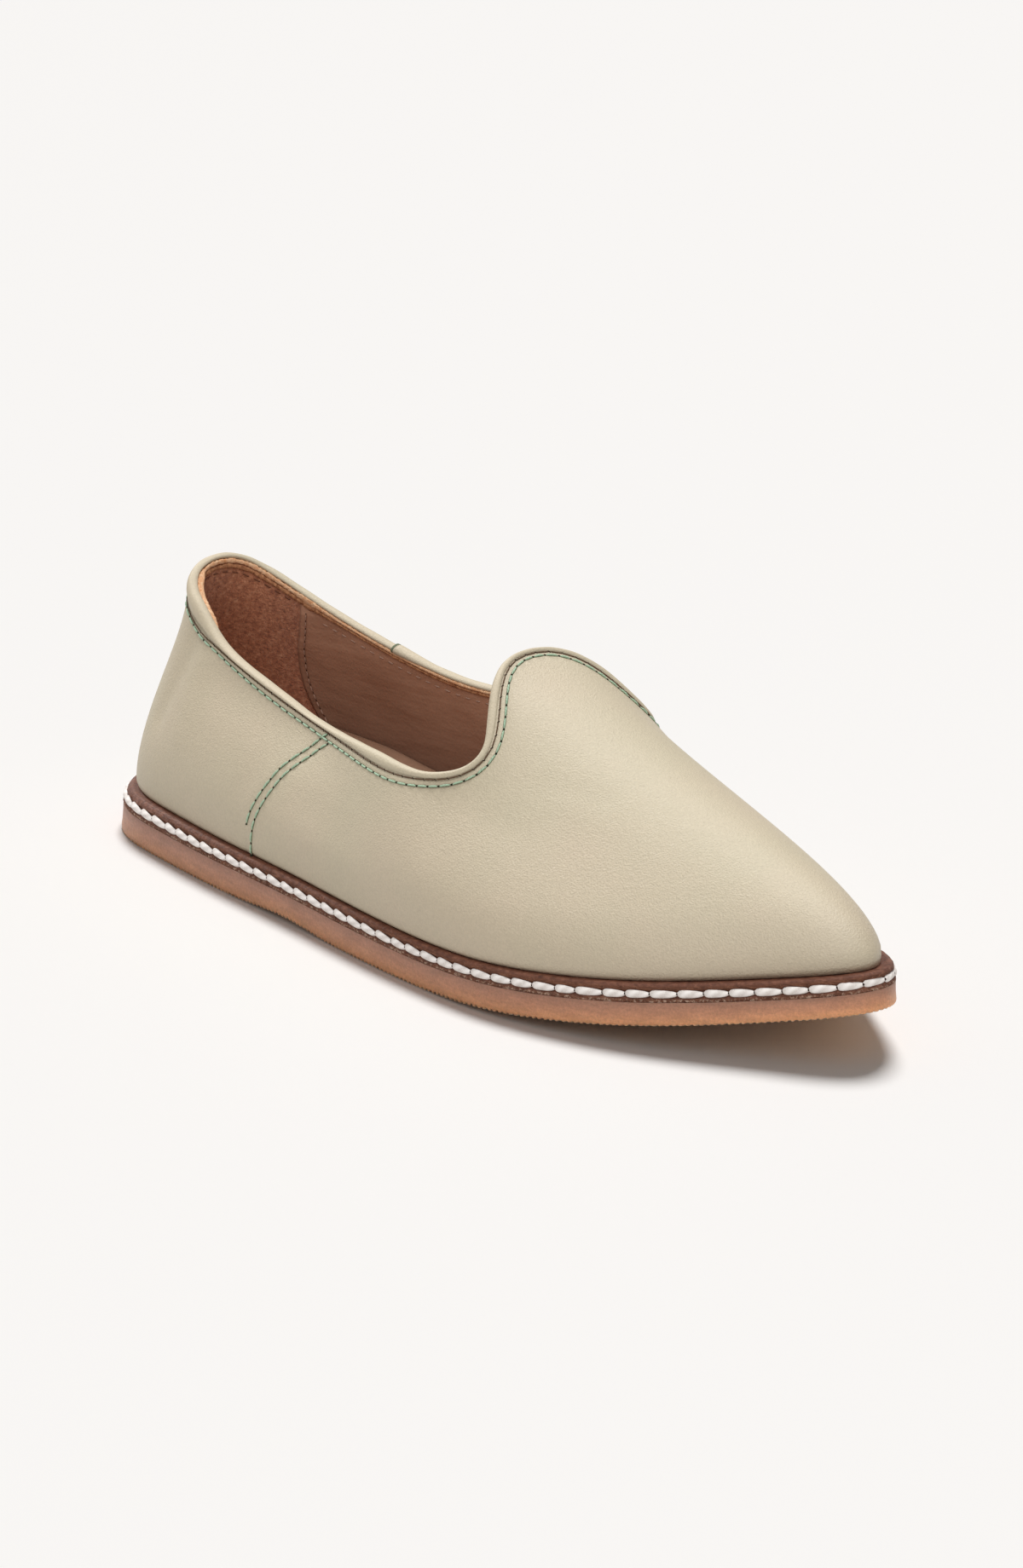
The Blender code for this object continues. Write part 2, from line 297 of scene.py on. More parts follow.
def loop_steps(loop):
    """Step at each point of a closed loop, from the point before it to the point after it."""
    return np.roll(loop, -1, axis=0) - np.roll(loop, 1, axis=0)


def turns(count):
    """Angles of even steps round a circle."""
    return 2.0 * np.pi * np.arange(count) / count


def bell(far, half_width):
    """1 at no distance, fading out softly beyond the half width."""
    return np.exp(-(far / half_width) ** 2)


def eased_loop(values, reach):
    """Values round the shoe, each the mean of its neighbours up to this many columns away."""
    return np.mean([np.roll(values, shift) for shift in range(-reach, reach + 1)], axis=0)


def smooth_step(share):
    share = np.clip(share, 0.0, 1.0)
    return share * share * (3.0 - 2.0 * share)


def in_span(value, start, fade_in, end, fade_out):
    """1 between start and end, 0 outside, with soft ends."""
    return smooth_step((value - start) / fade_in) * smooth_step((end - value) / fade_out)


def outward(plan_steps):
    return unit(np.column_stack([plan_steps[:, 1], -plan_steps[:, 0]]))


def loop_outward(loop):
    return outward(loop_steps(loop[:, :2]))


def part_rows(x, column):
    """A column of the sole's table along the shoe, as in the part."""
    rows = np.array(SOLE_ROWS)
    return np.interp(x / SOLE_LENGTH, rows[:, 0], rows[:, SOLE_COLUMNS.index(column)])


def eased_rows(x, column):
    """The same with the table's corners rounded off."""
    shifts = np.linspace(-SOLE_EASING, SOLE_EASING, EASING_READINGS)
    return np.mean([part_rows(x + shift, column) for shift in shifts], axis=0)


def spring_height(x):
    past_ball = np.clip((x / SOLE_LENGTH - SPRING_START) / (1.0 - SPRING_START), 0.0, None)
    return TOE_SPRING * past_ball ** 2


def bottom_height(x):
    across_arch = np.clip((x / SOLE_LENGTH - ARCH_BACK) / (ARCH_FRONT - ARCH_BACK), 0.0, 1.0)
    return spring_height(x) + ARCH_LIFT * np.sin(np.pi * across_arch) ** 2


def joint_height(x):
    return spring_height(x) + part_rows(x, "rubber")


def top_height(x):
    return joint_height(x) + LEATHER_THICKNESS


def insole_height(x):
    return top_height(x) + GAP + eased_rows(x, "insole")


def section_rows():
    rows = []
    for table, height in ((QUARTER_ROWS, HEEL_HEIGHT), (VAMP_ROWS, INSTEP_HEIGHT)):
        for values in table:
            row = dict(zip(SECTION_COLUMNS, values))
            row["rim_height"] = row["rim_up"] * height
            rows.append(row)
    return rows


def control_loops(samples):
    """Feather, wall, roll and rim loops of the upper, from the heel by the outer side to the toe."""
    lateral = section_rows()
    medial = lateral[-2:0:-1]
    sides = [(row, -1.0, "lateral") for row in lateral] + [(row, 1.0, "medial") for row in medial]
    plan = np.array([(row["along"] * SOLE_LENGTH, sign * row[side] * BALL_WIDTH)
                     for row, sign, side in sides])
    rim = np.array([(row["rim_along"] * SOLE_LENGTH, sign * row["rim_out"] * BALL_WIDTH,
                     row["rim_height"]) for row, sign, side in sides])
    rise, roll = (np.array([row[key] * INSTEP_HEIGHT for row, sign, side in sides])
                  for key in ("rise", "roll"))
    lean = np.array([row["lean"] for row, sign, side in sides])
    tilt = np.radians([row["tilt"] for row, sign, side in sides])
    middle = 0.5 * (plan + rim[:, :2])
    chords = np.linalg.norm(np.roll(middle, -1, axis=0) - middle, axis=1)
    stations = np.concatenate([[0.0], np.cumsum(np.sqrt(chords))])
    steps = closed_spline(stations, plan, stations[:-1] + NUDGE)
    steps = steps - closed_spline(stations, plan, stations[:-1] - NUDGE)
    side_way = outward(steps)
    rim_way = unit(plan - rim[:, :2] + OUTWARD_BIAS * side_way)
    feather = np.column_stack([plan, top_height(plan[:, 0])])
    wall = feather + rise[:, None] * np.column_stack([lean[:, None] * side_way, np.ones(len(plan))])
    drop = np.column_stack([np.sin(tilt)[:, None] * rim_way, -np.cos(tilt)])
    under_rim = rim + roll[:, None] * drop
    at = np.linspace(0.0, stations[-1], samples, endpoint=False)
    loops = [closed_spline(stations, loop, at) for loop in (feather, wall, under_rim, rim)]
    loops[0][:, 2] = top_height(loops[0][:, 0])
    return loops


def even_surface(samples, readings, steps):
    """Outer face of the upper, read at even steps along the wall from the sole to the rim."""
    feather, wall, under_rim, rim = control_loops(samples)
    up = np.linspace(0.0, 1.0, readings)[None, :, None]
    down = 1.0 - up
    raw = (down ** 3 * feather[:, None] + 3.0 * up * down ** 2 * wall[:, None]
           + 3.0 * up ** 2 * down * under_rim[:, None] + up ** 3 * rim[:, None])
    runs = np.cumsum(np.linalg.norm(np.diff(raw, axis=1), axis=2), axis=1)
    runs = np.concatenate([np.zeros((samples, 1)), runs], axis=1)
    even = np.empty((samples, steps + 1, 3))
    for column in range(samples):
        wanted = np.linspace(0.0, runs[column, -1], steps + 1)
        for axis in range(3):
            even[column, :, axis] = np.interp(wanted, runs[column], raw[column, :, axis])
    return even


def surface_normals(grid):
    return unit(np.cross(loop_steps(grid), np.gradient(grid, axis=1)))


def distance_to_rim(grid):
    """Straight distance of each point of the face from the nearest point of its rim."""
    rim = grid[:, -1]
    found = np.empty(grid.shape[:2])
    for column in range(len(grid)):
        near = rim[np.arange(column - RIM_REACH, column + RIM_REACH) % len(rim)]
        found[column] = lengths(grid[column][:, None] - near[None]).min(axis=1)
    return np.maximum.accumulate(found[:, ::-1], axis=1)[:, ::-1]


COLUMNS = np.arange(AROUND) / AROUND
LEVELS = np.linspace(0.0, 1.0, UP_STEPS + 1)
COLLAR_LIFT = eased_loop(np.interp(COLUMNS, *np.array(COLLAR_ROWS).T), COLLAR_EASING)

SKIN = even_surface(AROUND, READINGS, UP_STEPS)
SKIN[:, :, 2] += COLLAR_LIFT[:, None] * smooth_step((LEVELS - COLLAR_START) / (1.0 - COLLAR_START))
WALL_RUN = lengths(np.diff(SKIN, axis=1)).sum(axis=1)
SKIN_NORMAL = surface_normals(SKIN)
SKIN_FIELDS = np.concatenate([SKIN, SKIN_NORMAL], axis=2)
RIM_DISTANCE = distance_to_rim(SKIN)


def skin_at(around, up):
    """Points and normals of the outer face at shares around the shoe and up the wall."""
    column = np.mod(np.asarray(around, float), 1.0) * AROUND
    level = np.clip(np.asarray(up, float), 0.0, 1.0) * UP_STEPS
    left = np.floor(column).astype(int) % AROUND
    low = np.minimum(np.floor(level).astype(int), UP_STEPS - 1)
    right = (left + 1) % AROUND
    across = (column - np.floor(column))[..., None]
    above = (level - low)[..., None]
    lower = (1.0 - across) * SKIN_FIELDS[left, low] + across * SKIN_FIELDS[right, low]
    upper = (1.0 - across) * SKIN_FIELDS[left, low + 1] + across * SKIN_FIELDS[right, low + 1]
    found = (1.0 - above) * lower + above * upper
    return found[..., :3], unit(found[..., 3:])


def rim_row(distance):
    """Share up the wall, for each column, at which the face lies at this distance from the rim."""
    wanted = np.broadcast_to(distance, (AROUND,))
    return np.array([np.interp(-far, -column, LEVELS) for far, column in zip(wanted, RIM_DISTANCE)])


def around_loop(values, around):
    """Values that were given for each column, read between the columns."""
    return np.interp(np.mod(around, 1.0), np.append(COLUMNS, 1.0), np.append(values, values[0]))


def from_back(around):
    """Share around from the back of the heel, the same on both sides."""
    return np.minimum(np.mod(around, 1.0), 1.0 - np.mod(around, 1.0))


def row_distance(row):
    """Distance of a thread row from the wavy rim at each column, its table's corners rounded off."""
    table = np.array(ROW_ROWS)
    values = np.interp(from_back(COLUMNS), table[:, 0], table[:, ROW_COLUMNS.index(row)])
    return eased_loop(values, ROW_EASING) + COLLAR_LIFT


def sole_outline(samples, ledge):
    feather = control_loops(samples)[0]
    return feather[:, :2] + ledge(feather[:, 0])[:, None] * loop_outward(feather)


PART_OUTLINE = sole_outline(PART_AROUND, lambda x: part_rows(x, "ledge"))
PART_CENTRE = 0.5 * (PART_OUTLINE.min(axis=0) + PART_OUTLINE.max(axis=0))
SHIFT = np.array([-PART_CENTRE[0], -PART_CENTRE[1], 0.0])


def soft_noise(count, waves, seed):
    """Closed row of smooth random numbers between about -1 and 1."""
    rng = np.random.default_rng(seed)
    total = np.zeros(count)
    for wave in waves:
        total += rng.normal() * np.sin(wave * turns(count) + rng.uniform(0.0, 2.0 * np.pi))
    return total / np.sqrt(len(waves))


# Materials

def srgb(colour):
    """Linear colour for a shader from the 0 to 255 values seen on a screen."""
    shares = np.array(colour) / 255.0
    linear = np.where(shares <= 0.04045, shares / 12.92, ((shares + 0.055) / 1.055) ** 2.4)
    return (*linear.tolist(), 1.0)


class Finish:
    """One material and short names for its nodes. A colour is given as three 0 to 255 values."""

    def __init__(self, name, **sockets):
        self.material = bpy.data.materials.new(name)
        self.material.use_nodes = True
        self.tree = self.material.node_tree
        self.shader = self.tree.nodes["Principled BSDF"]
        self.place = self.add("TexCoord", "Object", {})
        for socket, value in sockets.items():
            self.set(socket.replace("_", " "), value)

    def add(self, kind, output, inputs, **settings):
        """Output of a new node whose inputs are other outputs, numbers or colours."""
        node = self.tree.nodes.new("ShaderNode" + kind)
        for key, value in settings.items():
            setattr(node, key, value)
        for socket, value in inputs.items():
            self.put(node.inputs[socket], value)
        return node.outputs[output]

    def put(self, socket, value):
        if isinstance(value, bpy.types.NodeSocket):
            self.tree.links.new(value, socket)
        else:
            socket.default_value = srgb(value) if socket.type == "RGBA" else value

    def set(self, socket, value):
        self.put(self.shader.inputs[socket], value)

    def stretched(self, along, across, up):
        return self.add("Mapping", 0, {"Vector": self.place, "Scale": (along, across, up)})

    def noise(self, pitch, detail=3.0, roughness=0.5, place=None):
        """Noise whose patches are about this many millimetres wide."""
        inputs = {"Vector": place or self.place, "Scale": 1.0 / (pitch * METRES),
                  "Detail": detail, "Roughness": roughness}
        return self.add("TexNoise", "Fac", inputs)

    def cells(self, pitch):
        """Soft cells about this many millimetres wide."""
        inputs = {"Vector": self.place, "Scale": 1.0 / (pitch * METRES)}
        return self.add("TexVoronoi", "Distance", inputs, feature="SMOOTH_F1")

    def ramp(self, value, *stops):
        """Colours, or greys given as one number, between positions of a value."""
        found = self.add("ValToRGB", "Color", {"Fac": value})
        elements = found.node.color_ramp.elements
        while len(elements) < len(stops):
            elements.new(0.5)
        for element, (position, colour) in zip(elements, stops):
            element.position = position
            element.color = srgb(colour) if isinstance(colour, tuple) else (colour, colour, colour, 1.0)
        return found

    def blend(self, share, first, second, way="MIX"):
        inputs = {0: share, 6: first, 7: second}
        return self.add("Mix", 2, inputs, data_type="RGBA", blend_type=way)

    def shaded(self, tone, shade):
        return self.blend(1.0, tone, shade, "MULTIPLY")

    def product(self, first, second):
        return self.add("Math", 0, {0: first, 1: second}, operation="MULTIPLY")

    def attribute(self, name):
        return self.add("Attribute", "Fac", {}, attribute_name=name)

    def axis(self, name, vector):
        return self.add("SeparateXYZ", name, {"Vector": vector})

    def span(self, value, low, high, start=0.0, end=1.0):
        inputs = {"Value": value, "From Min": low, "From Max": high, "To Min": start, "To Max": end}
        return self.add("MapRange", "Result", inputs)

    def bump(self, height, depth, under=None):
        """Relief of this depth in millimetres, over another relief if one is given."""
        inputs = {"Height": height, "Distance": depth * METRES, "Strength": 1.0}
        if under is not None:
            inputs["Normal"] = under
        return self.add("Bump", "Normal", inputs)


SAGE_WARM = (204, 189, 164)
SAGE_GREEN = (200, 188, 162)


def sage_leather(name, pebble, roughness, coat):
    """Pale sage leather with a fine pebble grain."""
    finish = Finish(name, Roughness=roughness, Specular_IOR_Level=0.5, Coat_Weight=coat, Coat_Roughness=0.5)
    tone = finish.ramp(finish.noise(34.0, 2.0), (0.35, SAGE_GREEN), (0.65, SAGE_WARM))
    flecks = finish.ramp(finish.noise(0.6, 2.0), (0.3, 0.93), (0.7, 1.03))
    finish.tone = finish.shaded(tone, flecks)
    finish.set("Base Color", finish.tone)
    relief = finish.bump(finish.cells(0.36), 0.12 * pebble)
    relief = finish.bump(finish.noise(0.8, 3.0), 0.08 * pebble, relief)
    finish.set("Normal", finish.bump(finish.noise(9.0, 2.0), 0.10, relief))
    return finish


# Painted shade: the upper's colour darkens towards the sole over this height in millimetres, down to this
# share
PAINTED_SHADE_HEIGHT = 14.0
PAINTED_SHADE_TONE = 0.89


def upper_material():
    """Sage leather with painted shade, a little darker where it meets the sole."""
    finish = sage_leather("upper_leather", 1.0, 0.52, 0.1)
    painted_shade = finish.span(finish.attribute("above_sole"), 0.0, PAINTED_SHADE_HEIGHT, PAINTED_SHADE_TONE, 1.0)
    finish.set("Base Color", finish.shaded(finish.tone, painted_shade))
    return finish.material


def binding_material():
    return sage_leather("binding_leather", 0.6, 0.62, 0.0).material


def thread_material(name, colour, shade, roughness, twist=2.0):
    """Twisted thread: strands run slantwise along each stitch, which has its own map."""
    finish = Finish(name, Roughness=roughness, Specular_IOR_Level=0.3)
    along = finish.add("UVMap", "UV", {}, uv_map="along_stitch")
    inputs = {"Vector": along, "Scale": twist, "Distortion": 1.2, "Detail": 2.0}
    strands = finish.add("TexWave", "Fac", inputs, bands_direction="DIAGONAL")
    finish.set("Base Color", finish.blend(finish.product(strands, finish.noise(0.35, 3.0)), colour, shade))
    finish.set("Normal", finish.bump(strands, 0.06))
    return finish.material


def suede_material():
    finish = Finish("heel_suede", Roughness=0.92, Specular_IOR_Level=0.15,
                    Sheen_Weight=0.25, Sheen_Roughness=0.6)
    blotches = finish.noise(1.2, 5.0, 0.78)
    tone = finish.ramp(blotches, (0.30, (144, 82, 55)), (0.50, (205, 131, 93)), (0.70, (242, 177, 137)))
    finish.set("Base Color", tone)
    finish.set("Normal", finish.bump(finish.noise(0.8, 4.0, 0.75), 0.8))
    return finish.material


# Heights in metres over which painted shade on the lining fades out, from darkest at the bottom of the
# shoe's inside to none
LINING_SHADE_HEIGHTS = (0.016, 0.046)


def lining_material():
    finish = Finish("quarter_lining", Roughness=0.5, Specular_IOR_Level=0.35)
    tone = finish.ramp(finish.noise(14.0, 4.0), (0.3, (187, 139, 113)), (0.7, (199, 151, 124)))
    # Painted shade: the lining darkens to about a third towards the bottom of the shoe's inside
    dark = finish.ramp(finish.span(finish.axis("Z", finish.place), *LINING_SHADE_HEIGHTS), (0.0, 0.34), (1.0, 1.0))
    finish.set("Base Color", finish.shaded(tone, dark))
    folds = finish.bump(finish.noise(6.0, 3.0, 0.5, finish.stretched(0.22, 0.5, 1.0)), 0.8)
    finish.set("Normal", finish.bump(finish.cells(0.7), 0.08, folds))
    return finish.material


def insole_material():
    finish = Finish("insole_leather", Roughness=0.5, Specular_IOR_Level=0.35)
    tone = finish.ramp(finish.noise(10.0, 4.0), (0.3, (156, 120, 97)), (0.7, (168, 131, 107)))
    finish.set("Base Color", tone)
    finish.set("Normal", finish.bump(finish.cells(0.8), 0.08))
    return finish.material


def raw_edge_material(name, deep, light):
    finish = Finish(name, Roughness=0.85, Specular_IOR_Level=0.2)
    fibres = finish.noise(1.1, 5.0, 0.75)
    finish.set("Base Color", finish.ramp(fibres, (0.35, deep), (0.65, light)))
    finish.set("Normal", finish.bump(fibres, 0.5))
    return finish.material


# How much a face of the sole's leather looks up where the burnished ledge starts and is complete
LEDGE_FACING = (0.25, 0.6)


def midsole_material():
    """Dark leather: burnished on its ledge, open and speckled on its cut side, pale at the joint."""
    finish = Finish("sole_leather", Specular_IOR_Level=0.35)
    layers = finish.noise(1.2, 5.0, 0.75, finish.stretched(0.45, 0.45, 2.2))
    cut = finish.ramp(layers, (0.30, (72, 42, 30)), (0.52, (116, 72, 52)), (0.74, (158, 112, 86)))
    specks = finish.ramp(finish.noise(0.45, 3.0, 0.8), (0.60, 0.0), (0.72, 0.55))
    cut = finish.blend(specks, cut, (190, 144, 116))
    joint = finish.span(finish.attribute("sole_share"), 0.10, 0.30, 1.0, 0.0)
    crumbs = finish.ramp(finish.noise(0.8, 4.0, 0.75), (0.50, 0.0), (0.60, 0.8))
    cut = finish.blend(finish.product(joint, crumbs), cut, (206, 176, 154))
    fibres = finish.noise(1.6, 5.0, 0.7)
    ledge = finish.ramp(fibres, (0.3, (84, 49, 37)), (0.52, (118, 74, 56)), (0.74, (154, 104, 82)))
    facing_up = finish.axis("Z", finish.add("NewGeometry", "Normal", {}))
    finish.set("Base Color", finish.blend(finish.span(facing_up, *LEDGE_FACING), cut, ledge))
    finish.set("Roughness", finish.span(facing_up, *LEDGE_FACING, 0.8, 0.5))
    finish.set("Normal", finish.bump(layers, 0.5))
    return finish.material


# Ribs of the underside, and the distance in metres from the middle to heel and toe colour
TREAD_PITCH = 0.86
TREAD_WAVES = np.pi / (10.0 * TREAD_PITCH * METRES)
RUBBER_REACH = 0.13


def rubber_material():
    """Amber gum rubber that lets light in, browner at the heel and along its top."""
    finish = Finish("gum_rubber", Roughness=0.46, Specular_IOR_Level=0.4,
                    Subsurface_Weight=0.25, Subsurface_Scale=0.003)
    finish.set("Subsurface Radius", (1.0, 0.45, 0.2))
    height = finish.attribute("sole_share")
    # Painted highlight: both ramps are lighter at the very bottom, up to a share of 0.06, where the teeth
    # catch light
    heel = finish.ramp(height, (0.0, (238, 192, 156)), (0.06, (194, 140, 106)), (0.25, (184, 132, 102)),
                       (0.7, (174, 128, 107)), (1.0, (152, 109, 92)))
    toe = finish.ramp(height, (0.0, (246, 202, 162)), (0.06, (229, 163, 115)), (0.45, (204, 145, 110)),
                      (1.0, (164, 120, 99)))
    along = finish.span(finish.axis("X", finish.place), -RUBBER_REACH, RUBBER_REACH)
    streaks = finish.noise(2.5, 4.0, 0.7, finish.stretched(0.3, 0.3, 1.6))
    smudges = finish.ramp(streaks, (0.36, 0.88), (0.64, 1.08))
    specks = finish.ramp(finish.noise(0.6, 4.0, 0.75), (0.32, 0.80), (0.68, 1.13))
    tone = finish.shaded(finish.blend(along, heel, toe), smudges)
    finish.set("Base Color", finish.shaded(tone, specks))
    under = finish.span(height, 0.0, 0.02, 1.0, 0.0)
    ribs = finish.add("TexWave", "Fac", {"Vector": finish.place, "Scale": TREAD_WAVES})
    relief = finish.bump(finish.product(under, ribs), 0.5)
    finish.set("Normal", finish.bump(finish.noise(0.8, 3.0), 0.12, relief))
    return finish.material


def dark_material(name, deep, light):
    finish = Finish(name, Roughness=0.9, Specular_IOR_Level=0.1)
    finish.set("Base Color", finish.ramp(finish.noise(0.4), (0.3, deep), (0.7, light)))
    return finish.material


# Meshes

PIECES = []
MIDDLE_LINE_ENDS = 0.12


def grid_faces(rings, columns, close_rings, close_columns):
    """Quads of a grid of points that is stored ring after ring."""
    ring = np.arange(rings if close_rings else rings - 1)
    column = np.arange(columns if close_columns else columns - 1)
    ring, column = np.meshgrid(ring, column, indexing="ij")
    next_ring = (ring + 1) % rings
    next_column = (column + 1) % columns
    corners = [ring * columns + column, ring * columns + next_column,
               next_ring * columns + next_column, next_ring * columns + column]
    return np.stack(corners, axis=-1).reshape(-1, 4).tolist()


def cap_faces(first, count):
    """Faces across a loop, each between a point and its partner on the shoe's other side."""
    faces = []
    for i in range(count // 2):
        corners = [first + i, first + i + 1, first + count - i - 1, first + (count - i) % count]
        faces.append(list(dict.fromkeys(corners)))
    return faces


def enclosed_volume(points, faces):
    total = 0.0
    for size in {len(face) for face in faces}:
        corners = points[np.array([face for face in faces if len(face) == size])]
        for k in range(1, size - 1):
            crossed = np.cross(corners[:, k], corners[:, k + 1])
            total += np.einsum("ij,ij->", corners[:, 0], crossed)
    return total


def make_piece(name, points, faces, material, node=None, attributes=None, along=None, sharp=None):
    """Closed mesh in the part's frame that rides on the shoe and takes a finish."""
    points = np.reshape(points, (-1, 3))
    if enclosed_volume(points, faces) < 0.0:
        faces = [face[::-1] for face in faces]
    mesh = bpy.data.meshes.new(name)
    mesh.from_pydata(((points + SHIFT) * METRES).tolist(), [], faces)
    mesh.materials.append(material)
    mesh.shade_smooth()
    if sharp is not None:
        mesh.set_sharp_from_angle(angle=np.radians(sharp))
    for key, values in (attributes or {}).items():
        mesh.attributes.new(key, "FLOAT", "POINT").data.foreach_set("value", np.float32(values))
    if along is not None:
        corners = np.empty(len(mesh.loops), int)
        mesh.loops.foreach_get("vertex_index", corners)
        layer = mesh.uv_layers.new(name="along_stitch")
        layer.data.foreach_set("uv", np.float32(along[corners]).ravel())
    item = bpy.data.objects.new(name, mesh)
    bpy.context.scene.collection.objects.link(item)
    PIECES.append(item)
    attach(item, "root")
    if node is not None:
        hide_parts(node)


def make_stack(name, loops, material, node, attributes=None, sharp=None):
    """Closed plate through loops from the middle of its underside to the middle of its top."""
    count = len(loops[0])
    faces = grid_faces(len(loops), count, False, True)
    faces += cap_faces(0, count) + cap_faces((len(loops) - 1) * count, count)
    make_piece(name, loops, faces, material, node, attributes, sharp=sharp)


def inner_line(plan):
    """For each point of a sole's outline, the point of its middle line that faces it."""
    partner = plan[(len(plan) - np.arange(len(plan))) % len(plan)]
    middle = 0.5 * (plan + partner)
    low, high = plan[:, 0].min(), plan[:, 0].max()
    reach = MIDDLE_LINE_ENDS * (high - low)
    x = np.clip(plan[:, 0], low + reach, high - reach)
    half = len(plan) // 2
    y = np.interp(x, middle[:half + 1, 0], middle[:half + 1, 1])
    return np.column_stack([x, y])


# Thread

STITCH_RINGS = 11
STITCH_SIDES = 8
STITCH_BLUNT = 4.0
STITCH_TIP = 0.03
STITCH_BOW = 0.7
STITCH_SUNK = 0.35
PITCH_JITTER = 0.04
HOLE_FLATNESS = 0.6
TICK_LENGTH = 0.8
TICK_WIDTH = 0.22
TICK_RISE = 0.05
TICK_SLANT = 1.2


def make_cords(name, lines, size, material, taper=0.0):
    """One piece of separate stitches, each a bowed, blunt cord from a start to an end.

    The lines are starts, ends and normals, and the size is width, height and rise.
    """
    starts, ends, normals = lines
    width, height, rise = size
    steps = 0.5 - 0.5 * np.cos(np.linspace(0.0, np.pi, STITCH_RINGS))
    blunt = np.clip(1.0 - np.abs(2.0 * steps - 1.0) ** STITCH_BLUNT, STITCH_TIP, 1.0)
    swell = np.sqrt(blunt) * (1.0 - taper * steps)
    bow = rise * np.sin(np.pi * steps) ** STITCH_BOW - 0.5 * STITCH_SUNK * height
    way = unit(ends - starts)
    side = unit(np.cross(normals, way))
    lift = unit(np.cross(way, side))
    middle = starts[:, None] + steps[None, :, None] * (ends - starts)[:, None]
    middle = middle + bow[None, :, None] * lift[:, None]
    turn = turns(STITCH_SIDES)[:, None]
    ring = 0.5 * (width * np.cos(turn) * side[:, None, None] + height * np.sin(turn) * lift[:, None, None])
    points = middle[:, :, None] + swell[None, :, None, None] * ring
    per = STITCH_RINGS * STITCH_SIDES
    one = grid_faces(STITCH_RINGS, STITCH_SIDES, False, True)
    one += [list(range(STITCH_SIDES)), list(range(per - 1, per - STITCH_SIDES - 1, -1))]
    faces = [[corner + per * stitch for corner in face] for stitch in range(len(starts)) for face in one]
    around = np.arange(STITCH_SIDES) / STITCH_SIDES
    along = np.stack(np.meshgrid(steps, around, indexing="ij"), axis=-1).reshape(-1, 2)
    make_piece(name, points, faces, material, along=np.tile(along, (len(starts), 1)))


def thread_row(points, normals, pitch, fill, seed, closed=False):
    """Starts, ends and normals of a row's stitches, then places and normals of its needle holes."""
    if closed:
        points = np.vstack([points, points[:1]])
        normals = np.vstack([normals, normals[:1]])
    runs = np.concatenate([[0.0], np.cumsum(lengths(np.diff(points, axis=0)))])
    marks = np.linspace(0.0, runs[-1], max(2, round(runs[-1] / pitch)) + 1)
    jitter = np.random.default_rng(seed).normal(0.0, PITCH_JITTER * pitch, len(marks))
    marks = np.clip(marks + jitter, 0.0, runs[-1])
    rest = 0.5 * (1.0 - fill) * np.diff(marks)

    def along_line(at):
        place, way = (np.column_stack([np.interp(at, runs, axis) for axis in field.T])
                      for field in (points, normals))
        return place, unit(way)

    starts, start_way = along_line(marks[:-1] + rest)
    ends, end_way = along_line(marks[1:] - rest)
    return (starts, ends, unit(start_way + end_way), *along_line(marks))


def rows_together(rows):
    return [np.vstack(parts) for parts in zip(*rows)]


def make_thread(name, rows, size, material, taper=0.0):
    make_cords(name, rows_together(rows)[:3], size, material, taper)


def make_holes(name, rows, width, material):
    holes, hole_way = rows_together(rows)[3:]
    reach = 0.5 * width * unit(np.roll(holes, -1, axis=0) - holes)
    lines = (holes - reach, holes + reach, hole_way)
    make_cords(name, lines, (width, HOLE_FLATNESS * width, 0.0), material)


def make_ticks(name, rows, material):
    """Short pricks that slant across a row, one at each needle hole."""
    holes, hole_way = rows_together(rows)[3:]
    row_way = unit(np.gradient(holes, axis=0))
    reach = 0.5 * TICK_LENGTH * unit(TICK_SLANT * row_way + np.cross(row_way, hole_way))
    lines = (holes - reach, holes + reach, hole_way)
    make_cords(name, lines, (TICK_WIDTH, TICK_WIDTH, TICK_RISE), material)


# Upper

def seam_line(side, offset):
    """Line of the side seam at a distance from its middle, on the outer side or the inner one."""
    rows = np.array(SEAM_ROWS)
    up = np.linspace(rows[0, 1], rows[-1, 1], SEAM_POINTS)
    around = np.interp(-up, -rows[:, 1], rows[:, 0])
    window = 2 * SEAM_EASING + 1
    around[SEAM_EASING:-SEAM_EASING] = np.convolve(around, np.ones(window) / window, mode="valid")
    points, normals = skin_at(around if side < 0 else 1.0 - around, up)
    across = unit(np.cross(unit(np.gradient(points, axis=0)), normals)) * side
    return points + offset * across, normals, up


def nearest_distance(points, line):
    return np.concatenate([lengths(part[:, None] - line[None]).min(axis=1)
                           for part in np.array_split(points, DISTANCE_BATCHES)])


def crease_depth(points):
    """How far each point of the face sinks into the creases and the side seams."""
    depth = np.zeros(len(points))
    share = np.linspace(0.0, 1.0, CREASE_POINTS)
    for values in CREASE_ROWS:
        row = dict(zip(CREASE_COLUMNS, values))
        around = row["around_start"] + share * (row["around_end"] - row["around_start"])
        up = row["up_start"] + share * (row["up_end"] - row["up_start"])
        far = nearest_distance(points, skin_at(around, up)[0])
        depth += row["depth"] * bell(far, row["half_width"])
    for side in (-1.0, 1.0):
        for offset in (-SEAM_HALF, SEAM_HALF):
            far = nearest_distance(points, seam_line(side, offset)[0])
            depth += SEAM_GROOVE * bell(far, SEAM_GROOVE_HALF)
    return depth


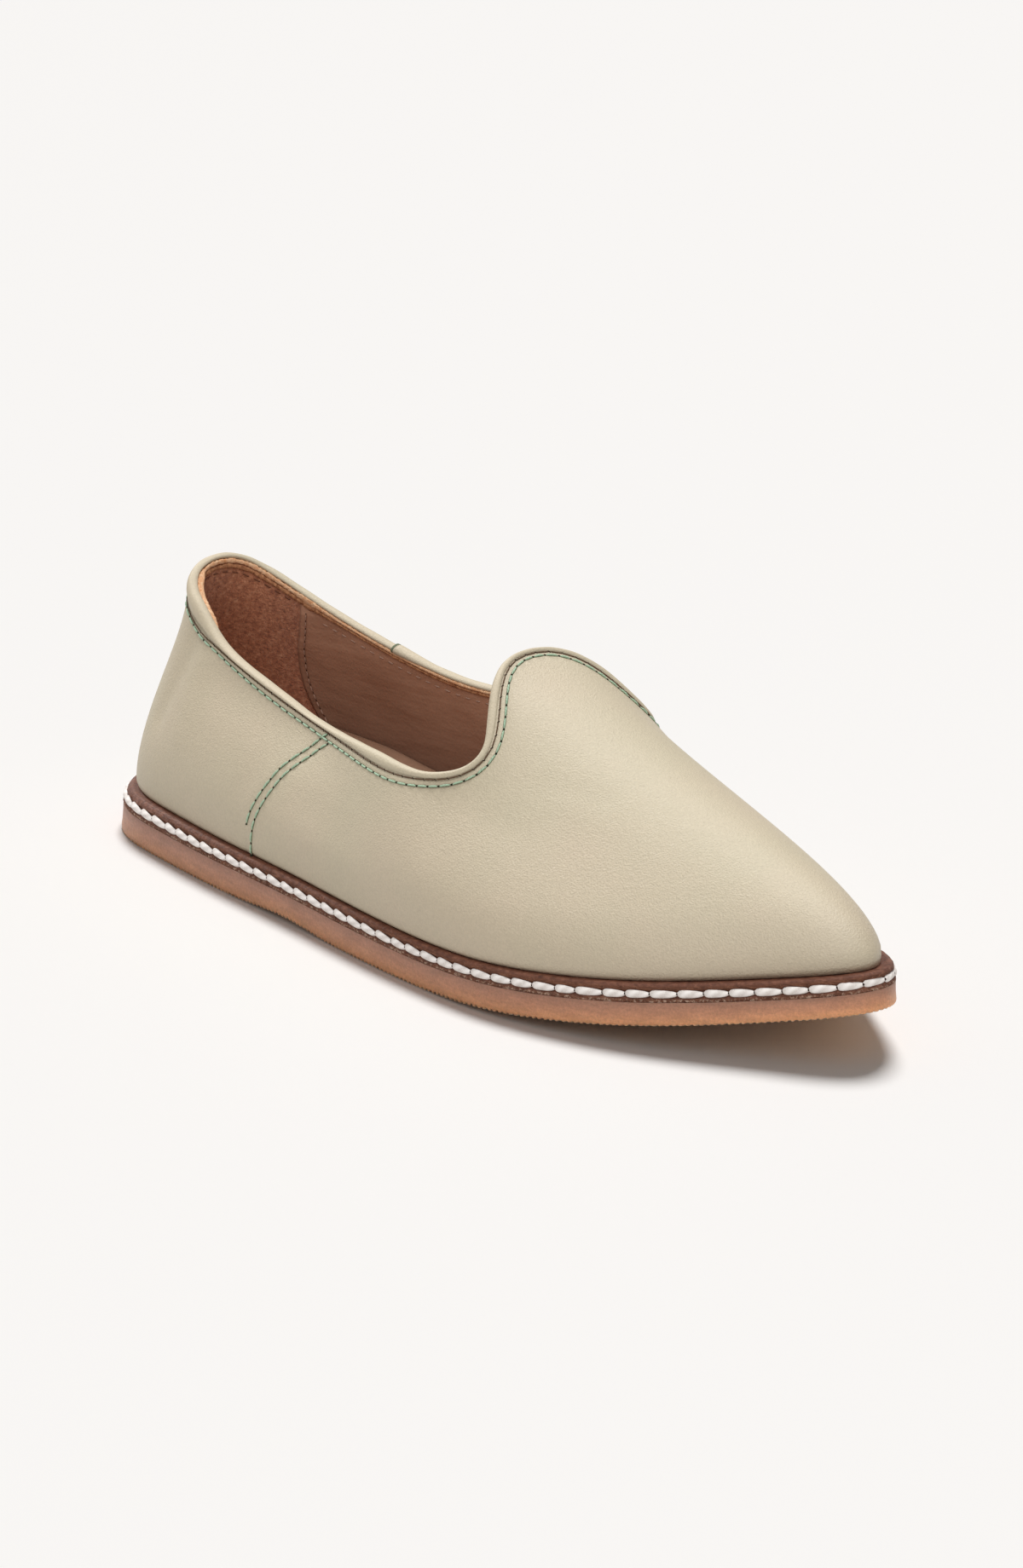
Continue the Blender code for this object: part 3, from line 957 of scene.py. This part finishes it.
def make_upper(material):
    """Outer leather, from the sole to inside the binding, with its creases."""
    wall_shares = np.linspace(0.0, 1.0, WALL_RINGS, endpoint=False)
    wall_end = rim_row(COLLAR_BAND)
    distances = np.arange(COLLAR_BAND, COLLAR_BAND_END, -COLLAR_RING)
    levels = [share * wall_end for share in wall_shares] + [rim_row(distance) for distance in distances]
    outer, normals = skin_at(np.tile(COLUMNS, (len(levels), 1)), np.array(levels))
    depth = crease_depth(outer.reshape(-1, 3)).reshape(outer.shape[:2])
    for row, groove, half_width in ROW_GROOVES:
        depth[WALL_RINGS:] += groove * bell(distances[:, None] - row_distance(row), half_width)
    depth[:WALL_RINGS] += TUCK_DEPTH * bell(wall_shares, TUCK_REACH)[:, None]
    outer -= depth[:, :, None] * normals
    outer[0, :, 2] += FOOT_LIFT
    inner_levels = [levels[-1]] + [share * wall_end for share in np.linspace(1.0, 0.0, INNER_RINGS)]
    inside, inside_way = skin_at(np.tile(COLUMNS, (len(inner_levels), 1)), np.array(inner_levels))
    rings = np.concatenate([outer, inside - UPPER_THICKNESS * inside_way])
    faces = grid_faces(len(rings), AROUND, True, True)
    # Height over the sole, which the upper's painted shade reads
    attributes = {"above_sole": (rings[:, :, 2] - outer[0, :, 2]).ravel()}
    make_piece("upper_leather", rings, faces, material, "upper", attributes)


def rim_frame():
    """Rim line with its outward and downward directions, square to it."""
    rim = SKIN[:, -1]
    way = unit(loop_steps(rim))
    out = SKIN_NORMAL[:, -1]
    out = unit(out - np.sum(out * way, axis=1, keepdims=True) * way)
    down = np.cross(way, out)
    down *= np.sign(np.sum(down * (SKIN[:, -RIM_STEPS] - rim), axis=1, keepdims=True))
    return rim, out, down


def bead_rings(columns, grow):
    """Rings of points along the rolled strip, one ring line for each place round its section."""
    rim, out, down = (part[columns] for part in rim_frame())
    swell = 1.0 + BEAD_UNEVEN * soft_noise(AROUND, BEAD_WAVES, 11)[columns]
    outside = row_distance("brown")[columns]
    rings = []
    for angle in turns(BEAD_SIDES):
        outer_half = np.round(np.cos(angle), 6) >= 0.0
        half_tall = 0.5 * (outside if outer_half else BEAD_INSIDE)
        drop = half_tall - (half_tall * swell + grow) * np.sin(angle)
        wide = (0.5 * BEAD_WIDTH * swell + grow) * np.cos(angle) - 0.5 * WALL
        rings.append(rim + drop[:, None] * down + wide[:, None] * out)
    return np.array(rings)


def make_binding(material, shade):
    """Rolled strip on the collar's edge, whose cut end laps over its start on the inner side."""
    rings = bead_rings(np.arange(AROUND), np.zeros(AROUND))
    faces = grid_faces(BEAD_SIDES, AROUND, True, True)
    make_piece("rolled_binding", rings, faces, material, "topline_binding")
    end = round(BEAD_END * AROUND)
    grow = np.linspace(*LAP_GROWTH, LAP_COLUMNS)
    grow[-1] -= LAP_ROUNDING
    lap = bead_rings(np.arange(end - LAP_COLUMNS + 1, end + 1), grow)
    faces = grid_faces(BEAD_SIDES, LAP_COLUMNS, True, False)
    start_face = [side * LAP_COLUMNS for side in range(BEAD_SIDES)]
    faces += [start_face[::-1], [corner + LAP_COLUMNS - 1 for corner in start_face]]
    make_piece("binding_lap", lap, faces, material)
    # Painted shade: a dark sheet along the step where the lap's cut end stands
    low, high = (bead_rings(np.array([end, end + 1]), np.full(2, growth)) for growth in CUT_GROWTH)
    line = np.stack([low[:, 0], high[:, 0], high[:, 1], low[:, 1]])
    make_piece("binding_cut_shadow", line, grid_faces(4, BEAD_SIDES, True, True), shade)


def make_sheet(name, around, shares, face, material):
    """Closed sheet on the wall's inside, from the sole up to the binding, at levels and columns."""
    top = around_loop(rim_row(SHEET_TOP), around)
    points, normals = skin_at(around, shares[:, None] * top)
    rings = np.concatenate([points - face[..., None] * normals, (points - SHEET_REAR * normals)[::-1]])
    levels, columns = around.shape
    faces = grid_faces(2 * levels, columns, True, False)
    for column in (0, columns - 1):
        for level in range(levels - 1):
            corners = (level, level + 1, 2 * levels - 2 - level, 2 * levels - 1 - level)
            end = [corner * columns + column for corner in corners]
            faces.append(end if column == 0 else end[::-1])
    make_piece(name, rings, faces, material, "upper")


def heel_seam(shares):
    """Share around of the heel seam on the inner side, at shares up the wall."""
    rows = np.array(HEEL_SEAM_ROWS)
    run = around_loop(WALL_RUN, rows[:, 0])
    return np.interp(shares, 1.0 - rows[::-1, 1] / run[::-1], rows[::-1, 0])


def make_linings(smooth, suede):
    """Suede round the heel and a smooth lining that laps over it at the seams."""
    shares = np.linspace(0.0, 1.0, SHEET_LEVELS)
    seam = heel_seam(shares)[:, None]
    heel = seam - SUEDE_LAP + np.linspace(0.0, 1.0, SUEDE_COLUMNS) * (2.0 * (1.0 - seam) + 2.0 * SUEDE_LAP)
    make_sheet("heel_suede", heel, shares, np.full(heel.shape, LINING_FACE), suede)
    end = seam + HEEL_SEAM_LAP
    quarter = 1.0 - end + np.linspace(0.0, 1.0, LINING_COLUMNS) * (2.0 * end - 1.0)
    lift = bell(end - quarter, LAP_HALF) + bell(quarter - 1.0 + end, LAP_HALF)
    lift *= smooth_step((1.0 - shares) / LAP_FADE)[:, None]
    make_sheet("quarter_lining", quarter, shares, LINING_FACE + LINING_OVER + LAP_RISE * lift, smooth)


def raw_foot(around):
    """Distance of the raw edge's foot from the rim, more round the back of the heel."""
    round_heel = smooth_step((RAW_HEEL_END - from_back(around)) / RAW_HEEL_FADE)
    return RAW_FOOT + (RAW_FOOT_HEEL - RAW_FOOT) * round_heel


def squared(value):
    """Sine or cosine of a round section, filled out to a rounded square."""
    return np.sign(value) * abs(value) ** CORD_SQUARE


def make_cord(name, distance, tall, thick, material, seed):
    """Flat cord round the inside of the collar, a little ragged, standing out beside the heel."""
    points, normals = skin_at(COLUMNS, rim_row(distance))
    beside_heel = in_span(COLUMNS, *RAW_OUT_SPAN)
    middle = points - (RAW_DEPTH + 0.5 * RAW_STANDS_OUT * beside_heel)[:, None] * normals
    half_thick = 0.5 * (thick + RAW_STANDS_OUT * beside_heel)[:, None]
    down = unit(np.cross(unit(loop_steps(middle)), normals))
    ragged = 1.0 + RAGGED * soft_noise(AROUND, RAGGED_WAVES, seed)
    ragged += FRAYED * bell(COLUMNS - FRAYED_PLACE, FRAYED_HALF)
    rings = []
    for angle in turns(CORD_SIDES):
        half_tall = (0.5 * tall * squared(np.sin(angle)) * ragged)[:, None]
        rings.append(middle - half_thick * squared(np.cos(angle)) * normals + half_tall * down)
    faces = grid_faces(CORD_SIDES, AROUND, True, True)
    make_piece(name, rings, faces, material)


def make_raw_edges(bright, worn):
    foot = raw_foot(COLUMNS)
    middle = 0.5 * (RAW_TOP + foot)
    tall = middle - RAW_TOP - RAW_SPLIT
    make_cord("raw_edge_upper", 0.5 * (RAW_TOP + middle), tall, thick=0.8, material=bright, seed=41)
    make_cord("raw_edge_lower", 0.5 * (middle + foot), tall, thick=0.6, material=worn, seed=42)


# Sole

SOLE_SAMPLES = 1440
RUBBER_SAMPLES = 2880

# Teeth of the rubber's bottom edge, less deep towards the toe
TOOTH_PITCH = 1.6
TOOTH_DEPTH = 0.5
TOOTH_CUT = 3.0
TOOTH_TOP = 0.1
TOOTH_UNEVEN = 0.3
TOOTH_WAVES = range(60, 420, 19)
TOOTH_LIMITS = (0.3, 1.6)
TOE_TOOTH_LOSS = 0.55
TOE_TOOTH_START = 0.6
TOE_TOOTH_FADE = 0.2

# Rings of the sides of rubber and leather: share up the side, distance in from it. The leather
# is torn near the joint and has a groove for its thread.
RUBBER_RINGS = ((0.0, 0.25), (0.05, 0.08), (0.12, 0.0), (0.3, 0.05), (0.5, 0.08), (0.7, 0.05),
                (0.9, 0.0), (0.99, 0.05))
LEATHER_RINGS = ((0.0, 0.15), (0.07, 0.0), (0.13, 0.05), (0.2, 0.1), (0.28, 0.5), (0.48, 0.6),
                 (0.62, 0.5), (0.71, 0.05), (0.85, 0.0), (0.93, 0.08), (0.98, 0.25), (1.0, 0.5))
JOINT_GAP = 0.05
TORN_DEPTH = 0.15
TORN_TOP = 0.25
LEATHER_ROUGH = 0.06
LEATHER_WAVES = range(90, 500, 17)
LEDGE_INSET = 0.75

# Footbed: height of its turned-up edge, more beside the heel on the inner side, and its rounding.
# The span is in millimetres from the heel: start, fade in, end and fade out.
INSOLE_TURN_UP = 2.8
INSOLE_SIDE_RISE = 1.6
INSOLE_SIDE_SPAN = (22.0, 14.0, 80.0, 22.0)
FOOTBED_GAP = 0.15
FOOTBED_EDGE = 0.8
TURN_UP_REACH = 11.0
EDGE_REACH = 1.5
EDGE_DROP = 0.5


def sole_loops(samples):
    outline = sole_outline(samples, lambda x: eased_rows(x, "ledge"))
    return outline, loop_outward(outline), inner_line(outline)


def at_height(plan, heights):
    return np.column_stack([plan, heights])


def toward(outline, middle, share):
    """Points at a share of the way from the outline to the middle line."""
    return outline + np.reshape(share, (-1, 1)) * (middle - outline)


def leaned_in(outline, level):
    """How far the sole's side lies inside its outline, from 0 at the joint to 1 at the top."""
    draft = eased_rows(outline[:, 0], "draft")
    return draft + (eased_rows(outline[:, 0], "bevel") - draft) * level ** BEVEL_POWER


def make_outsole(material):
    outline, out, middle = sole_loops(RUBBER_SAMPLES)
    x = outline[:, 0]
    run = np.cumsum(lengths(outline - np.roll(outline, 1, axis=0)))
    uneven = 1.0 + TOOTH_UNEVEN * soft_noise(RUBBER_SAMPLES, TOOTH_WAVES, 5)
    jag = TOOTH_DEPTH * (np.mod(run / TOOTH_PITCH, 1.0) < 0.5) * np.clip(uneven, *TOOTH_LIMITS)
    jag *= 1.0 - TOE_TOOTH_LOSS * smooth_step((x / SOLE_LENGTH - TOE_TOOTH_START) / TOE_TOOTH_FADE)
    cut = np.minimum(TOOTH_CUT / lengths(middle - outline), 0.1)
    rings = []
    for inward, notch in ((0.97, 0.0), (0.7, 0.0), (0.4, 0.0), (0.15, 0.0), (1.2 * cut, 0.0), (cut, jag)):
        plan = toward(outline, middle, inward)
        rings.append((0.0, at_height(plan, bottom_height(plan[:, 0]) + notch)))
    height = joint_height(x) - bottom_height(x)
    for level, inset in RUBBER_RINGS:
        plan = outline - (inset + eased_rows(x, "draft") * level)[:, None] * out
        notch = jag * max(0.0, 1.0 - level / TOOTH_TOP)
        rings.append((level, at_height(plan, bottom_height(x) + level * height + notch)))
    for inward in (0.1, 0.6, 0.97):
        plan = toward(outline, middle, inward)
        rings.append((1.0, at_height(plan, joint_height(plan[:, 0]) - JOINT_GAP)))
    share, loops = zip(*rings)
    attributes = {"sole_share": np.repeat(share, RUBBER_SAMPLES)}
    make_stack("gum_outsole", loops, material, "outsole", attributes, sharp=50.0)


def make_midsole(material):
    outline, out, middle = sole_loops(SOLE_SAMPLES)
    rings = []
    for inward in (0.97, 0.5, 0.1):
        plan = toward(outline, middle, inward)
        rings.append((0.0, at_height(plan, joint_height(plan[:, 0]))))
    rough = LEATHER_ROUGH * soft_noise(SOLE_SAMPLES, LEATHER_WAVES, 8)
    rng = np.random.default_rng(9)
    for level, inset in LEATHER_RINGS:
        torn = TORN_DEPTH * rng.uniform(-1.0, 1.0, SOLE_SAMPLES) * (0.0 < level < TORN_TOP)
        plan = outline - (inset + rough + torn + leaned_in(outline, level))[:, None] * out
        rings.append((level, at_height(plan, joint_height(plan[:, 0]) + level * LEATHER_THICKNESS)))
    ledge = outline - (LEDGE_INSET + leaned_in(outline, 1.0))[:, None] * out
    for inward in (0.0, 0.1, 0.2, 0.6, 0.97):
        plan = toward(ledge, middle, inward)
        rings.append((1.0, at_height(plan, top_height(plan[:, 0]))))
    share, loops = zip(*rings)
    attributes = {"sole_share": np.repeat(share, SOLE_SAMPLES)}
    make_stack("leather_midsole", loops, material, "midsole", attributes, sharp=60.0)


def turned_up(x, side):
    """Height of the footbed's turned-up edge over its middle: more beside the heel's inner side."""
    return INSOLE_TURN_UP + INSOLE_SIDE_RISE * in_span(x, *INSOLE_SIDE_SPAN) * (side > 0.0)


def make_insole(material):
    """Footbed, dished, its edge turned up against the lining."""
    feather = control_loops(AROUND)[0]
    inner = SKIN - (LINING_FACE + FOOTBED_GAP) * SKIN_NORMAL

    def outline_at(heights):
        plan = [[np.interp(height, column[:, 2], column[:, axis]) for axis in range(2)]
                for column, height in zip(inner, heights)]
        return np.array(plan)

    edge = insole_height(feather[:, 0]) + turned_up(feather[:, 0], feather[:, 1])
    under = top_height(feather[:, 0]) + GAP
    outline = outline_at(edge)
    foot = outline_at(under)
    middle = inner_line(outline)
    half = lengths(outline - middle)
    loops = []
    for inward in (0.97, 0.5):
        plan = toward(foot, inner_line(foot), inward)
        loops.append(at_height(plan, top_height(plan[:, 0]) + GAP))
    loops.append(at_height(foot, under))
    loops.append(at_height(outline, edge - FOOTBED_EDGE))
    for inward in (0.01, 0.03, 0.06, 0.1, 0.15, 0.21, 0.28, 0.36, 0.45, 0.6, 0.8, 0.97):
        plan = toward(outline, middle, inward)
        turn_up = 1.0 - smooth_step(inward * half / TURN_UP_REACH)
        rounded = EDGE_DROP * np.clip(1.0 - inward * half / EDGE_REACH, 0.0, 1.0) ** 2
        rise = turned_up(outline[:, 0], outline[:, 1]) * turn_up
        loops.append(at_height(plan, insole_height(plan[:, 0]) + rise - rounded))
    make_stack("footbed", loops, material, "insole")


# Stitches

# Sewing of the sole: height on the leather's side, depth, and the stitches' tilt, less at the toe
WELT_LEVEL = 0.46
WELT_DEPTH = 0.1
WELT_STEP = 0.1
WELT_TILT = 0.36
WELT_TILT_LOSS = 0.8
WELT_TILT_START = 0.45
WELT_TILT_FADE = 0.3


def welt_rows():
    """Sewing on the midsole's side, each stitch a little higher at its heel end."""
    outline, out, middle = sole_loops(SOLE_SAMPLES)
    lean = leaned_in(outline, WELT_LEVEL)
    plan = outline - (WELT_DEPTH + lean)[:, None] * out
    points = at_height(plan, joint_height(plan[:, 0]) + WELT_LEVEL * LEATHER_THICKNESS)
    slope = (leaned_in(outline, WELT_LEVEL + WELT_STEP) - lean) / (WELT_STEP * LEATHER_THICKNESS)
    normals = unit(at_height(out, slope))
    starts, ends, *others = thread_row(points, normals, pitch=6.05, fill=1.04, seed=3, closed=True)
    toeward = np.sign(ends[:, 0] - starts[:, 0])
    toe_share = smooth_step((starts[:, 0] / SOLE_LENGTH - WELT_TILT_START) / WELT_TILT_FADE)
    tilt = at_height(np.zeros((len(starts), 2)), WELT_TILT * toeward * (1.0 - WELT_TILT_LOSS * toe_share))
    return starts + tilt, ends - tilt, *others


def inside_row(around, distance, depth, **spacing):
    """Row on the inside of the wall at a distance from the rim, along part of the collar."""
    points, normals = skin_at(around, around_loop(rim_row(distance), around))
    return thread_row(points - (LINING_FACE + depth) * normals, -normals, **spacing)


def heel_seam_row(side, seed):
    shares = np.linspace(*HEEL_ROW_ENDS, SEAM_POINTS)
    around = heel_seam(shares) - HEEL_ROW_OFFSET
    points, normals = skin_at(around if side > 0 else 1.0 - around, shares)
    inside = points - (LINING_FACE + HEEL_ROW_DEPTH) * normals
    return thread_row(inside, -normals, pitch=2.15, fill=0.62, seed=seed)


def collar_row(distance, **spacing):
    points, normals = skin_at(COLUMNS, rim_row(distance))
    return thread_row(points, normals, closed=True, **spacing)


def make_inside_stitches(pale, dark, hole):
    along_quarter = np.linspace(0.098, 0.902, 700)
    pale_row = inside_row(along_quarter, raw_foot(COLUMNS) + 1.9, depth=0.16, pitch=3.2, fill=0.5, seed=51)
    round_heel = np.linspace(0.925, 1.075, 200)
    heel_row = inside_row(round_heel, raw_foot(COLUMNS) + 0.9, depth=0.1, pitch=2.9, fill=0.6, seed=52)
    seam_rows = [heel_seam_row(1.0, 53), heel_seam_row(-1.0, 54)]
    make_thread("lining_stitches", [pale_row] + seam_rows, (0.34, 0.34, 0.05), pale)
    make_thread("heel_stitches", [heel_row], (0.4, 0.4, 0.0), dark)
    make_holes("lining_holes", seam_rows, 0.36, hole)


def green_thread_rows(fill):
    """The collar's green row and the two rows of each side seam."""
    rows = [collar_row(row_distance("green"), pitch=GREEN_PITCH, fill=fill, seed=22)]
    for side in (-1.0, 1.0):
        for offset, low_end in ((-SEAM_HALF, SEAM_HEEL_ROW_END), (SEAM_HALF, 0.0)):
            points, normals, up = seam_line(side, offset)
            kept = up > low_end
            seed = 30 + int(2 * side + offset)
            rows.append(thread_row(points[kept], normals[kept], GREEN_PITCH, fill, seed))
    return rows


def make_stitches(green, painted_shadow_grey, brown, white, hole, dark):
    """Thread on the outside; each size is width, height and rise."""
    brown_row = [collar_row(row_distance("brown") + 0.1, pitch=3.4, fill=0.96, seed=21)]
    green_rows = green_thread_rows(fill=0.84)
    welt = [welt_rows()]
    make_thread("brown_stitches", brown_row, (0.32, 0.32, 0.05), brown)
    make_ticks("brown_ticks", brown_row, dark)
    make_thread("green_stitches", green_rows, (0.46, 0.46, 0.24), green)
    # Painted shadow: a flat dark grey cord along each green row, under its thread
    make_thread("green_thread_shadows", green_thread_rows(fill=1.0), (0.62, 0.24, 0.0), painted_shadow_grey)
    make_holes("needle_holes", green_rows, 0.54, hole)
    make_thread("welt_stitches", welt, (2.11, 1.3, 0.3), white, taper=0.34)
    # Dark marks at the stitch ends: needle holes, and painted shade between the stitches
    make_holes("welt_holes_and_shade", welt, 0.62, dark)


# Stage

FLOOR_REACH = 6.0

# Lamps: name, azimuth and elevation in degrees, spread in degrees, strength, what it lights
LAMP_COLUMNS = ("name", "azimuth", "elevation", "spread", "strength", "lights")
LAMP_ROWS = (
    ("key", 258.0, 38.0, 10.0, 1.51, "shoe"),
    ("overhead", 192.0, 78.0, 20.0, 1.08, "shoe"),
    ("back", 206.0, 58.0, 14.0, 0.46, "shoe"),
    ("front_fill", 44.0, 52.0, 60.0, 1.60, "shoe"),
    ("floor_key", 222.0, 58.0, 22.0, 2.80, "floor"),
)
SOLE_PIECES = ("gum_outsole", "leather_midsole")
SKY_COLOUR = (1.0, 0.985, 0.97, 1.0)
SKY_STRENGTH = 0.2


def make_floor():
    low, high = -FLOOR_REACH, FLOOR_REACH
    mesh = bpy.data.meshes.new("floor")
    corners = [(low, low, 0.0), (high, low, 0.0), (high, high, 0.0), (low, high, 0.0)]
    mesh.from_pydata(corners, [], [(0, 1, 2, 3)])
    finish = Finish("pale_floor", Roughness=0.7, Specular_IOR_Level=0.2)
    finish.set("Base Color", (253, 251, 249))
    mesh.materials.append(finish.material)
    floor = bpy.data.objects.new("floor", mesh)
    bpy.context.scene.collection.objects.link(floor)
    return floor


def collected(name, members):
    """Collection of the pieces that a lamp lights, or that shade its light."""
    group = bpy.data.collections.new(name)
    for member in members:
        group.objects.link(member)
    return group


def make_lights(pieces, floor):
    """Lamps on the shoe from behind, above and in front, and one on the floor that only the sole shades."""
    scene = bpy.context.scene
    scene.view_settings.view_transform = "Standard"
    scene.world = bpy.data.worlds.new("studio")
    scene.world.use_nodes = True
    sky = scene.world.node_tree.nodes["Background"]
    sky.inputs["Color"].default_value = SKY_COLOUR
    sky.inputs["Strength"].default_value = SKY_STRENGTH
    lit = {"shoe": collected("shoe_pieces", pieces), "floor": collected("floor_pieces", [floor])}
    sole = collected("sole_pieces", [piece for piece in pieces if piece.name in SOLE_PIECES])
    for values in LAMP_ROWS:
        row = dict(zip(LAMP_COLUMNS, values))
        light = bpy.data.lights.new(row["name"], "SUN")
        light.energy = row["strength"]
        light.angle = np.radians(row["spread"])
        lamp = bpy.data.objects.new(row["name"], light)
        lamp.matrix_world = facing(direction(row["azimuth"], row["elevation"]), (0.0, 0.0, 1.0))
        lamp.light_linking.receiver_collection = lit[row["lights"]]
        if row["lights"] == "floor":
            lamp.light_linking.blocker_collection = sole
        scene.collection.objects.link(lamp)


def direction(azimuth, elevation):
    """Level angle from the outer side towards the toe, and angle over the floor, in degrees."""
    level = np.radians(azimuth)
    over = np.radians(elevation)
    return np.array([np.sin(level) * np.cos(over), -np.cos(level) * np.cos(over), np.sin(over)])


def facing(back, place):
    """Placement of a camera or lamp that looks against the back direction."""
    right = unit(np.cross([0.0, 0.0, 1.0], back))
    up = np.cross(back, right)
    rows = np.column_stack([right, up, back, place])
    return Matrix([*rows.tolist(), [0.0, 0.0, 0.0, 1.0]])


def make_camera():
    back = direction(CAMERA_AZIMUTH, CAMERA_ELEVATION)
    place = (np.array(CAMERA_TARGET) + SHIFT + CAMERA_DISTANCE * back) * METRES
    lens = bpy.data.cameras.new("photo_view")
    lens.sensor_width = SENSOR
    lens.lens = FOCAL_PIXELS / PHOTO_HEIGHT * SENSOR
    camera = bpy.data.objects.new("photo_view", lens)
    camera.matrix_world = facing(back, place)
    bpy.context.scene.collection.objects.link(camera)
    bpy.context.scene.camera = camera


def main():
    make_upper(upper_material())
    hole = dark_material("needle_hole", (30, 36, 28), (50, 56, 42))
    # Dark grey for painted shade: the shadow along the green thread and the line at the binding's cut end
    painted_shadow_grey = dark_material("painted_shade_grey", (96, 106, 84), (128, 134, 110))
    dark = dark_material("brown_shade", (36, 22, 16), (58, 38, 28))
    make_binding(binding_material(), painted_shadow_grey)
    make_linings(lining_material(), suede_material())
    bright_edge = raw_edge_material("raw_edge", (226, 160, 112), (254, 214, 174))
    worn_edge = raw_edge_material("worn_edge", (150, 92, 62), (232, 172, 126))
    make_raw_edges(bright_edge, worn_edge)
    make_outsole(rubber_material())
    make_midsole(midsole_material())
    make_insole(insole_material())
    green = thread_material("green_thread", (182, 208, 180), (134, 164, 136), 0.6)
    brown = thread_material("brown_thread", (112, 86, 64), (70, 50, 36), 0.7)
    white = thread_material("white_thread", (248, 242, 237), (198, 187, 179), 0.75, 1.2)
    pale = thread_material("lining_thread", (196, 160, 140), (156, 120, 102), 0.8)
    make_stitches(green, painted_shadow_grey, brown, white, hole, dark)
    heel_brown = thread_material("heel_thread", (134, 88, 64), (96, 58, 42), 0.85)
    make_inside_stitches(pale, heel_brown, dark)
    make_lights(PIECES, make_floor())
    make_camera()


main()
